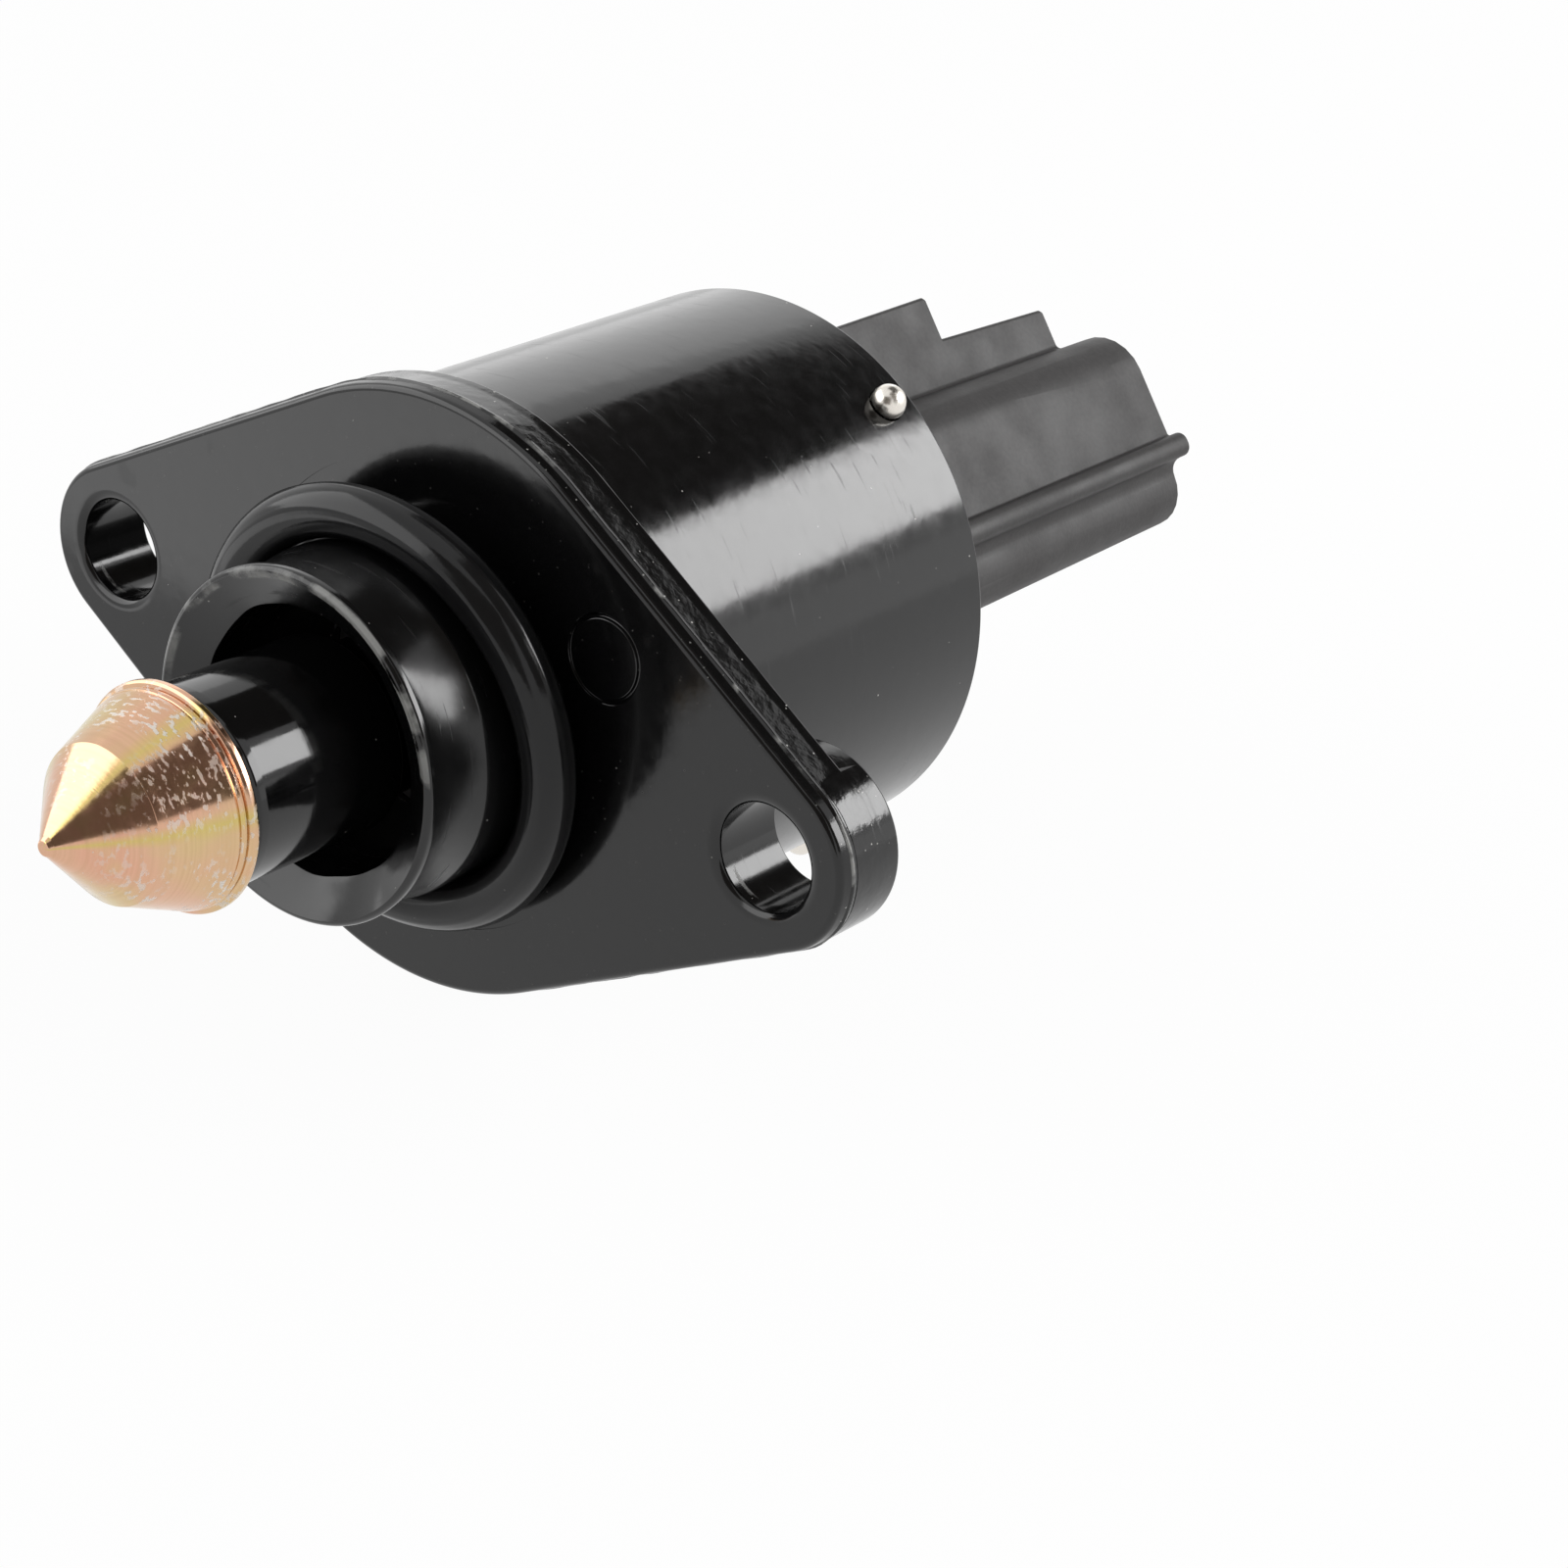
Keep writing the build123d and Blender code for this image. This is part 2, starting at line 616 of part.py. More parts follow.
# Inner plate of one stack, its teeth between those of the cup
def pole_plate(near, far, turn):
    toward = 1 if far > near else -1
    disc_y = far - toward * POLE_T
    tip_y = near + toward * (POLE_T + TOOTH_TIP_GAP)
    disc = ring(TOOTH_R, STATOR_R - POLE_T - PRESS_GAP, *sorted((disc_y, far)))
    return disc + claw_teeth(disc_y, tip_y, turn + 180 / TOOTH_COUNT)


def spool_span(near, far):
    low, high = sorted((near, far))
    return low + POLE_T + SPOOL_GAP, high - POLE_T - SPOOL_GAP


def bobbin(near, far):
    front, rear = spool_span(near, far)
    inner = TOOTH_R + POLE_T + SPOOL_GAP
    outer = STATOR_R - POLE_T - SPOOL_GAP
    barrel = inner + SPOOL_WALL
    return turned(
        (inner, front), (outer, front), (outer, front + SPOOL_FLANGE_T),
        (barrel, front + SPOOL_FLANGE_T), (barrel, rear - SPOOL_FLANGE_T),
        (outer, rear - SPOOL_FLANGE_T), (outer, rear), (inner, rear),
    )


def winding(near, far):
    front, rear = spool_span(near, far)
    barrel = TOOTH_R + POLE_T + SPOOL_GAP + SPOOL_WALL
    outer = STATOR_R - POLE_T - SPOOL_GAP - WINDING_INSET
    return ring(barrel + PRESS_GAP, outer, front + SPOOL_FLANGE_T + PRESS_GAP,
                rear - SPOOL_FLANGE_T - PRESS_GAP)


# Side places of the terminals in the rolled connector frame
def pin_places():
    first = -PIN_PITCH * (PIN_COUNT - 1) / 2
    return [first + PIN_PITCH * n for n in range(PIN_COUNT)]


# A blade that runs along the socket, drops inside the cap and turns to the coils
def terminal(side):
    shoulder_y = PIN_TIP_Y - PIN_TIP_LEN
    across = Pos(side, PLUG_MID) * Rectangle(PIN_W, PIN_T)
    tip = Pos(side, PLUG_MID) * Rectangle(PIN_W * PIN_TIP_SCALE, PIN_T * PIN_TIP_SCALE)
    blade = run_back(rolled(PIN_BEND_Y) * across, shoulder_y - PIN_BEND_Y)
    point = loft([rolled(shoulder_y) * across, rolled(PIN_TIP_Y) * tip])
    drop_h = PIN_TAIL_DROP + PIN_T
    drop_at = Pos(side, PLUG_MID - PIN_TAIL_DROP / 2)
    drop = run_back(rolled(PIN_BEND_Y) * drop_at * Rectangle(PIN_W, drop_h), PIN_T)
    foot = Pos(0, -PIN_TAIL_DROP) * across
    tail = run_back(rolled(PIN_TAIL_Y) * foot, PIN_BEND_Y + PIN_T - PIN_TAIL_Y)
    return blade + point + drop + tail


# How much the mould's draft adds to each side of the connector at a station
def draft_at(y):
    return PLUG_DRAFT * (PLUG_END_Y - y) / (PLUG_END_Y - CAP_REAR_Y)


# Outside of the connector at one station: narrower below the key rails, which run
# its whole length, with ribs of the given height on top
def shroud_section(y, rib_h=0.0):
    grown = draft_at(y)
    wide = PLUG_HALF_W + grown
    low = wide - PLUG_STEP_W
    top = PLUG_TOP + grown
    key_low = KEY_TOP - KEY_W
    key_side = PLUG_HALF_W + KEY_H
    right = [
        (low, PLUG_BOTTOM - grown, PLUG_LOW_CORNER_R),
        (low, key_low, KEY_FOOT_R),
        (key_side, key_low, KEY_EDGE_R),
        (key_side, KEY_TOP, KEY_EDGE_R),
        (wide, KEY_TOP, KEY_ROOT_R),
        (wide, top, PLUG_CORNER_R),
    ]
    if rib_h:
        crest = PLUG_TOP + rib_h
        right += [
            (RIB_FLANK, top, RIB_FOOT_R),
            (RIB_FLANK, crest, RIB_CREST_R),
            (RIB_FLANK - RIB_T, crest, RIB_CREST_R),
            (RIB_FLANK - RIB_T, top, RIB_FOOT_R),
        ]
    left = [(-side, up, radius) for side, up, radius in reversed(right)]
    corners = right + left
    outline = FilletPolyline(*[(side, up) for side, up, radius in corners],
                             radius=[radius for side, up, radius in corners], close=True)
    return rolled(y) * make_face(outline)


# Shroud in three runs: tall ribs, low ribs that fall towards the mouth, plain mouth
def shroud():
    tall = loft([shroud_section(CAP_REAR_Y, RIB_TALL_H), shroud_section(RIB_TALL_END_Y, RIB_TALL_H)],
                ruled=True)
    low = loft([shroud_section(RIB_TALL_END_Y, RIB_LOW_H),
                shroud_section(RIB_END_Y, RIB_LOW_H - RIB_LOW_FALL)], ruled=True)
    plain = loft([shroud_section(RIB_END_Y), shroud_section(PLUG_END_Y)], ruled=True)
    mouth = plain.faces().sort_by(Axis.Y)[-1].outer_wire().edges()
    return tall + low + chamfer(mouth, MOUTH_EDGE)


# Socket inside the shroud, its wall the same all round
def socket():
    wide = PLUG_HALF_W - PLUG_WALL
    low = wide - PLUG_STEP_W
    step_up = KEY_TOP - KEY_W + PLUG_WALL
    floor_up = PLUG_BOTTOM + PLUG_WALL
    inner_r = PLUG_CORNER_R - PLUG_WALL
    low_r = PLUG_LOW_CORNER_R - PLUG_WALL
    right = [(low, floor_up, low_r), (low, step_up, KEY_ROOT_R), (wide, step_up, KEY_ROOT_R),
             (wide, PLUG_TOP - PLUG_WALL, inner_r)]
    corners = right + [(-side, up, radius) for side, up, radius in reversed(right)]
    outline = FilletPolyline(*[(side, up) for side, up, radius in corners],
                             radius=[radius for side, up, radius in corners], close=True)
    return run_back(rolled(SOCKET_FLOOR_Y) * make_face(outline), SOCKET_DEPTH)


# Wedge that the mating plug's latch snaps over
def latch_wedge():
    foot = PLUG_TOP - PLUG_WALL / 2
    crest = PLUG_TOP + LATCH_H
    crest_y = LATCH_START_Y + LATCH_RAKE
    mouth_y = LATCH_START_Y + LATCH_LEN
    profile = make_face(Polyline(
        (LATCH_START_Y, foot), (LATCH_START_Y, PLUG_TOP), (crest_y, crest),
        (crest_y + LATCH_CREST, crest), (mouth_y, PLUG_TOP), (mouth_y, foot), close=True))
    return extrude(flank_plane(-LATCH_W / 2) * profile, amount=LATCH_W)


# Rear cap moulded round the terminals, with the connector shroud on it
def connector_cap(pins):
    body = turned(
        (0, CAP_FRONT_Y),
        (CAP_R, CAP_FRONT_Y),
        (CAP_R, CAP_SEAL_Y - CAP_SEAL_GROOVE_W / 2),
        (CAP_SEAL_GROOVE_R, CAP_SEAL_Y - CAP_SEAL_GROOVE_W / 2),
        (CAP_SEAL_GROOVE_R, CAP_SEAL_Y + CAP_SEAL_GROOVE_W / 2),
        (CAP_R, CAP_SEAL_Y + CAP_SEAL_GROOVE_W / 2),
        (CAP_R, CAP_REAR_Y),
        (0, CAP_REAR_Y),
    )
    body = body + shroud() + latch_wedge() - socket()
    body = body - ring(0, BEARING_R + PRESS_GAP, CAP_FRONT_Y, CAP_SEAT_Y)
    body = body - ring(0, SCREW_POCKET_R, CAP_SEAT_Y, SCREW_POCKET_END_Y)
    body = body - retaining_pin_holes(CAN_R - RETAIN_DEPTH - PRESS_GAP)
    return body - pins


def cap_seal():
    ring_r = CAN_BORE_R - CAP_SEAL_WIRE_R - PRESS_GAP / 2
    return Pos(0, CAP_SEAL_Y, 0) * Rot(90, 0, 0) * Torus(ring_r, CAP_SEAL_WIRE_R - PRESS_GAP / 2)


# Steel pins with ball heads, pressed through the can into the cap
def retaining_pins():
    shank = Plane(origin=(CAN_R - RETAIN_DEPTH, RETAIN_Y, 0), z_dir=(1, 0, 0))
    shank = extrude(shank * Circle(RETAIN_SHANK_R), amount=RETAIN_DEPTH + RETAIN_HEAD_SEAT)
    pin = shank + Pos(CAN_R + RETAIN_HEAD_SEAT, RETAIN_Y, 0) * Sphere(RETAIN_HEAD_R)
    return Compound(at_each_pin(pin))


front_stack = (STATOR_FRONT_Y, STATOR_MID_Y)
rear_stack = (STATOR_REAR_Y, STATOR_MID_Y + STACK_GAP)
quarter_pitch = 90 / TOOTH_COUNT
terminals = [terminal(side) for side in pin_places()]

nodes = {
    "housing": housing(),
    "seal_ring": seal_ring(),
    "pintle": pintle(),
    "stem": stem(),
    "lead_screw": lead_screw(),
    "guide_bush": guide_bush(),
    "rotor_hub": rotor_hub(),
    "rotor_nut": ring(SCREW_R + RUN_GAP, NUT_R, NUT_FRONT_Y, NUT_REAR_Y),
    "rotor_magnet": rotor_magnet(),
    "bearing_inner_race": inner_race(),
    "bearing_balls": bearing_balls(),
    "bearing_cage": bearing_cage(),
    "bearing_outer_race": outer_race(),
    "bow_washer": bow_washer(),
    "pole_cup_front": pole_cup(*front_stack, 0),
    "pole_plate_front": pole_plate(*front_stack, 0),
    "pole_plate_rear": pole_plate(*rear_stack, quarter_pitch),
    "pole_cup_rear": pole_cup(*rear_stack, quarter_pitch),
    "bobbin_front": bobbin(*front_stack),
    "bobbin_rear": bobbin(*rear_stack),
    "winding_front": winding(*front_stack),
    "winding_rear": winding(*rear_stack),
    "connector_cap": connector_cap(terminals),
    "cap_seal": cap_seal(),
    "retaining_pins": retaining_pins(),
}
for number, blade in enumerate(terminals, 1):
    nodes[f"terminal_{number}"] = blade

os.makedirs("parts", exist_ok=True)
for name, shape in nodes.items():
    export_step(shape, f"parts/{name}.step")
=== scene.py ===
# %% [markdown]
# # Idle air control valve
# This valve meters the air that an engine gets while it idles. A stepper motor in a black die-cast
# can drives a plated cone, the pintle, in and out of its seat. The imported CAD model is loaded
# first, as a fixed frame: every piece made here goes where the CAD says, in metres, with the valve
# axis along Y, the two bolt holes along X and Z up.

# %% Load the frame
import bpy
import bmesh
import json
import math
from mathutils import Matrix, Vector, noise


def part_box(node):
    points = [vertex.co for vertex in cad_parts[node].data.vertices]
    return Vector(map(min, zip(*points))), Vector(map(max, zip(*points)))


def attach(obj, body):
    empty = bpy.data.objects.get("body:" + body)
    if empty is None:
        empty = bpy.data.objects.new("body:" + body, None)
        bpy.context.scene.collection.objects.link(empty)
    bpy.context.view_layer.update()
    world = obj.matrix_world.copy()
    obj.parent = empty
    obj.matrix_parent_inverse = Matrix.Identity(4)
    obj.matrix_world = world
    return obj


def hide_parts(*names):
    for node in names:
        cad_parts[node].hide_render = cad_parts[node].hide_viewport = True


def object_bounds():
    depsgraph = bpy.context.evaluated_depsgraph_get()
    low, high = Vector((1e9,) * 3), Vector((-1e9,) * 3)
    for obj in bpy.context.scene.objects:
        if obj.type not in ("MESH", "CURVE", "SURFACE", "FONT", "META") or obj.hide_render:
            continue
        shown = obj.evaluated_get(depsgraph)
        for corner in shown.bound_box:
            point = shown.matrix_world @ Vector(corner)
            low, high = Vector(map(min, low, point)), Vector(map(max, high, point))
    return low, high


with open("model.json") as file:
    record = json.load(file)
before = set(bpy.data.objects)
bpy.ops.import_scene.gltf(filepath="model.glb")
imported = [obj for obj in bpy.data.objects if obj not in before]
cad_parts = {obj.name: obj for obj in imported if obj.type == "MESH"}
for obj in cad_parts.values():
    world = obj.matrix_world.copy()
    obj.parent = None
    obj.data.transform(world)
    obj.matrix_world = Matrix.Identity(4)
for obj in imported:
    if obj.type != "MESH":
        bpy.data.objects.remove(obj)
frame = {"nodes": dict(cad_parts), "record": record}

MM = 0.001
cad_low, cad_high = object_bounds()
nodes = frame["nodes"]
print("CAD box in mm:", [round(side / MM, 2) for side in cad_high - cad_low])

# %% [markdown]
# ## Profiles with rounded corners
# Nothing cast, moulded or turned has a truly sharp corner, and the thin bright line along a
# rounded edge is what makes it look real. A Bevel modifier could round the edges afterwards, but
# it goes wrong where surfaces were cut. Here each corner carries its own radius, in mm, and is
# rounded in the drawing, before it becomes a solid.

# %% Round the corners of a drawing
def rounded(corners, degrees=10):
    points = []
    for i, (a, b, radius) in enumerate(corners):
        here = Vector((a, b))
        if radius <= 0:
            points.append(here)
            continue
        to_last = (Vector(corners[i - 1][:2]) - here).normalized()
        to_next = (Vector(corners[(i + 1) % len(corners)][:2]) - here).normalized()
        half = to_last.angle(to_next) / 2
        centre = here + (to_last + to_next).normalized() * radius / math.sin(half)
        start = here + to_last * radius / math.tan(half) - centre
        end = here + to_next * radius / math.tan(half) - centre
        first = math.atan2(start.y, start.x)
        turn = (math.atan2(end.y, end.x) - first + math.pi) % (2 * math.pi) - math.pi
        steps = max(2, round(abs(math.degrees(turn)) / degrees))
        for k in range(steps + 1):
            angle = first + turn * k / steps
            points.append(centre + radius * Vector((math.cos(angle), math.sin(angle))))
    return points


def arc(middle_r, middle_y, radius, first, last, steps=10):
    angles = [math.radians(first + (last - first) * k / steps) for k in range(steps + 1)]
    return [(middle_r + radius * math.cos(a), middle_y + radius * math.sin(a), 0) for a in angles]


# %% [markdown]
# ## Three ways to a solid
# Turned forms come from a lathe: a drawing of (radius, y) spun about the valve axis, with one
# shared vertex where it touches the axis. Forms with a changing section come from a stack of
# rings. Bores and pockets are cut with exact booleans, because the real ones are cut or cored too.

# %% Lathe and ring stack
def solid_from(name, verts, faces):
    mesh = bpy.data.meshes.new(name)
    mesh.from_pydata([tuple(v * MM for v in vert) for vert in verts], [], faces)
    bm = bmesh.new()
    bm.from_mesh(mesh)
    bmesh.ops.recalc_face_normals(bm, faces=bm.faces)
    bm.to_mesh(mesh)
    bm.free()
    piece = bpy.data.objects.new(name, mesh)
    bpy.context.scene.collection.objects.link(piece)
    return piece


def lathe(name, corners, segments=144):
    verts = []
    rings = []
    for radius, y in rounded(corners):
        if radius < 1e-6:
            rings.append([len(verts)] * segments)
            verts.append((0, y, 0))
            continue
        rings.append(list(range(len(verts), len(verts) + segments)))
        for k in range(segments):
            angle = 2 * math.pi * k / segments
            verts.append((radius * math.cos(angle), y, radius * math.sin(angle)))
    faces = []
    for ring, after in zip(rings, rings[1:] + rings[:1]):
        for k in range(segments):
            n = (k + 1) % segments
            corners_of_face = list(dict.fromkeys((ring[k], ring[n], after[n], after[k])))
            if len(corners_of_face) > 2:
                faces.append(corners_of_face)
    return solid_from(name, verts, faces)


def stacked(name, rings):
    count = len(rings[0])
    verts = [vert for ring in rings for vert in ring]
    faces = [list(range(count)), list(range(len(verts) - count, len(verts)))]
    for level in range(len(rings) - 1):
        low = level * count
        for k in range(count):
            n = (k + 1) % count
            faces.append([low + k, low + n, low + count + n, low + count + k])
    return solid_from(name, verts, faces)


# %% Booleans and placing
def baked(piece):
    graph = bpy.context.evaluated_depsgraph_get()
    mesh = bpy.data.meshes.new_from_object(piece.evaluated_get(graph), depsgraph=graph)
    piece.modifiers.clear()
    piece.data = mesh
    return piece


def combine(piece, others, operation):
    for other in others:
        step = piece.modifiers.new(operation.lower(), "BOOLEAN")
        step.operation = operation
        step.solver = "EXACT"
        step.object = other
    bpy.context.view_layer.update()
    baked(piece)
    for other in others:
        bpy.data.objects.remove(other)
    return piece


def moved(piece, x=0.0, z=0.0):
    piece.data.transform(Matrix.Translation((x * MM, 0, z * MM)))
    return piece


def merged(piece, apart=1e-7):
    bm = bmesh.new()
    bm.from_mesh(piece.data)
    bmesh.ops.remove_doubles(bm, verts=bm.verts, dist=apart)
    bmesh.ops.dissolve_degenerate(bm, edges=bm.edges, dist=apart)
    bm.to_mesh(piece.data)
    bm.free()
    return piece


# %% [markdown]
# ## Shading that stays flat on flat faces
# A boolean leaves long thin triangles on the flat faces that it cuts. Where one of them ends at a
# rounded edge, smooth shading tilts it, and gloss black shows that as a streak. So every corner
# that lies on a face square to the valve axis gets that face's own direction, and the rounding
# starts from there.

# %% Smooth shading with flat ends
def flat_ends(mesh, degrees):
    flat = {}
    for face in mesh.polygons:
        if abs(face.normal.y) > 0.9999 and face.area > 1e-10:
            for vertex in face.vertices:
                flat[vertex] = round(face.normal.y)
    normals = [Vector(corner.vector) for corner in mesh.corner_normals]
    for face in mesh.polygons:
        for corner in face.loop_indices:
            side = flat.get(mesh.loops[corner].vertex_index, 0)
            if face.normal.y * side > math.cos(math.radians(degrees)):
                normals[corner] = Vector((0, side, 0))
    mesh.normals_split_custom_set(normals)


def crisp(piece, degrees=32):
    merged(piece)
    piece.data.shade_smooth()
    piece.data.set_sharp_from_angle(angle=math.radians(degrees))
    even = piece.modifiers.new("even shading", "WEIGHTED_NORMAL")
    even.keep_sharp = True
    even.weight = 60
    baked(piece)
    flat_ends(piece.data, degrees)
    bm = bmesh.new()
    bm.from_mesh(piece.data)
    open_edges = sum(not edge.is_manifold for edge in bm.edges)
    bm.free()
    print(piece.name, "has", len(piece.data.polygons), "faces and", open_edges, "open edges")
    return piece


# %% [markdown]
# ## Sizes of the casting
# What can be read from the frame is read from it. The can's radius, the rear edge and the
# spigot's length come from the boxes of their nodes, and the rest are the drawing's own sizes.

# %% Read the casting's sizes
housing_low, housing_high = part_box("housing")
seal_low, seal_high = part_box("seal_ring")
mounts = {mount["name"]: mount["dims"] for mount in frame["record"]["mounts"]}
spacing = mounts["flange_bolts"]["spacing_x_mm"]
hole_r = mounts["flange_bolts"]["hole_r_mm"]
lip_r = mounts["spigot_pilot"]["r_mm"]
spigot_end = housing_low.y / MM
can_rear = housing_high.y / MM
bead = 0.12
lug_r = housing_high.x / MM - spacing / 2 - bead
waist_r = housing_high.z / MM - bead
can_r = waist_r - 0.95
can_bore_r = can_r - 1.5
can_floor = 4.0
plate_t = 3.5
lug_t = 5.1
parting = 0.95
seat_r = 10.3
neck_r = 9.75
bore_r = 7.8
lip_round = 0.4
sweep_long = 0.6
flare_start = -8.8
flare_long = 3.4
edge_r = 0.42
side_rough = 0.014
print("can radius", round(can_r, 2), "lug radius", round(lug_r, 2), "spigot end", round(spigot_end, 2))

# %% [markdown]
# ## Flange plate
# The diamond plate is three circles wrapped by straight tangents. Every ring of the stack uses
# the same points, drawn in by a little more or less: the rounded edge of the face, the draft
# towards the parting line, the proud bead that the two halves of the die leave there, and the
# draft behind it. The sides of the casting were never machined, so smooth noise moves their
# points by a few hundredths, and the bead comes and goes along its length.

# %% Outline of the flange as points with their outward directions
def flange_outline(step=0.45):
    meet = math.acos((waist_r - lug_r) / (spacing / 2))
    arcs = [(spacing / 2, lug_r, -meet, meet), (0, waist_r, meet, math.pi - meet),
            (-spacing / 2, lug_r, math.pi - meet, math.pi + meet),
            (0, waist_r, math.pi + meet, 2 * math.pi - meet)]
    points = []
    for i, (middle, radius, first, last) in enumerate(arcs):
        count = round(radius * (last - first) / step)
        for k in range(count + 1):
            angle = first + (last - first) * k / count
            outward = Vector((math.cos(angle), math.sin(angle)))
            points.append((Vector((middle, 0)) + radius * outward, outward))
        next_middle, next_radius = arcs[(i + 1) % 4][:2]
        start = points[-1][0]
        end = Vector((next_middle, 0)) + next_radius * outward
        count = round((end - start).length / step)
        points += [(start.lerp(end, k / count), outward) for k in range(1, count)]
    return points


outline = flange_outline()
print("points round the flange:", len(outline))

# %% Flange plate as a stack of rings
def flange_ring(inset, y):
    ring = []
    for place, outward in outline:
        rough = 0.0
        if 0.3 < y < plate_t - 0.1:
            rough = side_rough * noise.noise(Vector((place.x * 0.8, y * 1.2, place.y * 0.8)))
        if inset < 0:
            rough = 0.4 * bead * (1 - noise.noise(Vector((place.x * 0.6, 7.0, place.y * 0.6))) * 1.4)
            rough = min(max(rough, 0.0), 0.9 * bead)
        at = place - outward * max(inset + rough, -bead)
        ring.append((at.x, y, at.y))
    return ring


front_inset = parting * math.tan(math.radians(8))
edge = rounded([(3, 0, 0), (front_inset, 0, edge_r), (0.03, parting - 0.16, 0.04),
                (-bead, parting - 0.02, 0.06), (-bead, parting + 0.05, 0.04), (0.01, parting + 0.2, 0)])
edge += [Vector((0.015 + 0.02 * k, parting + 0.3 + 0.35 * k)) for k in range(6)]
edge += rounded([(0.05, 3.2, 0), (0.067, plate_t, 0.2), (3, plate_t, 0)])[1:]
plate = stacked("housing_look", [flange_ring(inset, y) for inset, y in edge])
print("flange rings:", len(edge))

# %% [markdown]
# ## Lugs, can and spigot
# The lugs stand proud of the plate's rear face around the bolt holes. The can meets the plate in a
# small cove, and its rear edge is turned over. The spigot has the seat of the rubber ring, a
# slimmer neck that sweeps out to a rounded lip at one end and flares gently towards the seat at
# the other. An arc that leaves a straight line smoothly is found from its length and its rise. All
# are lathe work, joined to the plate as one casting.

# %% Turned parts of the casting
def lug(side):
    boss = lathe(f"lug_{side}", [(0, parting + 0.4, 0), (lug_r, parting + 0.4, 0),
                                 (lug_r, lug_t, 0.3), (0, lug_t, 0)], 96)
    return moved(boss, x=side * spacing / 2)


cove_r = 0.5
cove = [(can_r + cove_r, plate_t, 0)] + arc(can_r + cove_r, plate_t + cove_r, cove_r, 270, 180, 6)
can_shell = lathe("can", [(0, 1.2, 0), (can_r + cove_r, 1.2, 0)] + cove
                  + [(can_r, can_rear, 0.22), (0, can_rear, 0)], 240)


def arc_radius(long, rise):
    return (long ** 2 + rise ** 2) / (2 * rise)


sweep = arc_radius(sweep_long, lip_r - neck_r)
lean = math.degrees(math.asin(sweep_long / sweep))
flare = arc_radius(flare_long, seat_r - neck_r)
tilt = math.degrees(math.asin(flare_long / flare))
spigot = lathe("spigot", [(0, spigot_end, 0), (lip_r, spigot_end, lip_round)]
               + arc(neck_r + sweep, spigot_end + 1.2, sweep, 180 + lean, 180, 8)
               + arc(neck_r + flare, flare_start, flare, 180, 180 - tilt, 14)
               + [(seat_r, 1.0, 0), (0, 1.0, 0)], 192)
housing_look = combine(plate, [lug(-1), lug(1), can_shell, spigot], "UNION")

# %% [markdown]
# ## Bores, holes and the ring mark
# The cutters are lathe pieces too, with their mouths flared, so that each hole ends in a rounded
# edge. The paint has run a little at the inner edge of the spigot's mouth, so the cutter wanders
# there, most at that edge and less towards both sides, with enough rings to bend smoothly. A bare
# ring, sunk 0.2 mm, is the only mark on the flange face.

# %% Cutters for the holes
mouth_wide, mouth_deep, rear_edge = 0.75, 0.4, 0.15


def bolt_cutter(side):
    steps = [math.radians(a) for a in range(0, 91, 15)]
    front = [(hole_r + mouth_wide * (1 - math.sin(a)), mouth_deep * (1 - math.cos(a)), 0) for a in steps]
    rear = [(hole_r + rear_edge * (1 - math.sin(a)), lug_t - rear_edge * (1 - math.cos(a)), 0)
            for a in steps][::-1]
    profile = ([(0, -0.6, 0), (hole_r + mouth_wide, -0.6, 0)] + front + rear
               + [(hole_r + rear_edge, lug_t + 0.6, 0), (0, lug_t + 0.6, 0)])
    return moved(lathe(f"bolt_cutter_{side}", profile, 96), x=side * spacing / 2)


pin_angles = [55.5, 175.5, 295.5]
pin_y = can_rear - 2.45
pin_hole_r, pin_seat_r = 0.85, 1.13


def pin_cutter(angle):
    cutter = lathe("pin_cutter", [
        (0, can_r - 2.5, 0), (pin_hole_r, can_r - 2.5, 0), (pin_hole_r, can_r - 0.5, 0),
        (pin_seat_r, can_r - 0.2, 0.1), (pin_seat_r, can_r + 2, 0), (0, can_r + 2, 0)], 32)
    cutter.data.transform(Matrix.Translation((0, pin_y * MM, 0))
                          @ Matrix.Rotation(math.radians(-angle), 4, "Y")
                          @ Matrix.Rotation(math.radians(-90), 4, "Z"))
    return cutter


# %% Cut the casting
mouth_y = spigot_end + 1.3
funnel = [(1.6, 0.967), (1.1, 0.665), (0.75, 0.454), (0.4, 0.242)]
cavity = lathe("cavity", [(0, spigot_end - 1, 0), (lip_r - 0.2, spigot_end - 1, 0),
                          (lip_r - 0.2, spigot_end - 0.09, 0)]
               + [(bore_r + wider, mouth_y - before, 0) for wider, before in funnel]
               + [(bore_r, mouth_y, 0.12)] + [(bore_r, mouth_y + 0.4 * k, 0) for k in range(1, 6)]
               + [(bore_r, can_floor, 0), (can_bore_r, can_floor, 0),
                  (can_bore_r, can_rear + 1, 0), (0, can_rear + 1, 0)], 192)
paint_run = 0.024
for vertex in cavity.data.vertices:
    side = Vector((vertex.co.x, 0, vertex.co.z)) / MM
    deep = vertex.co.y / MM - mouth_y
    if 1 < side.length < bore_r + 1.7 and -1.0 < deep < 2.1:
        near = 1 - max(deep / 2.2, -deep / 1.3)
        wander = paint_run * noise.noise(side.normalized() * 3.0)
        vertex.co.x *= 1 + near * near * wander
        vertex.co.z *= 1 + near * near * wander
land = lathe("land", [(seat_r, -0.5, 0), (14.0, -0.5, 0), (13.95, 0.05, 0), (seat_r, 0.05, 0)], 144)
mark_x, mark_z, mark_deep = 12.97, 7.27, 0.2
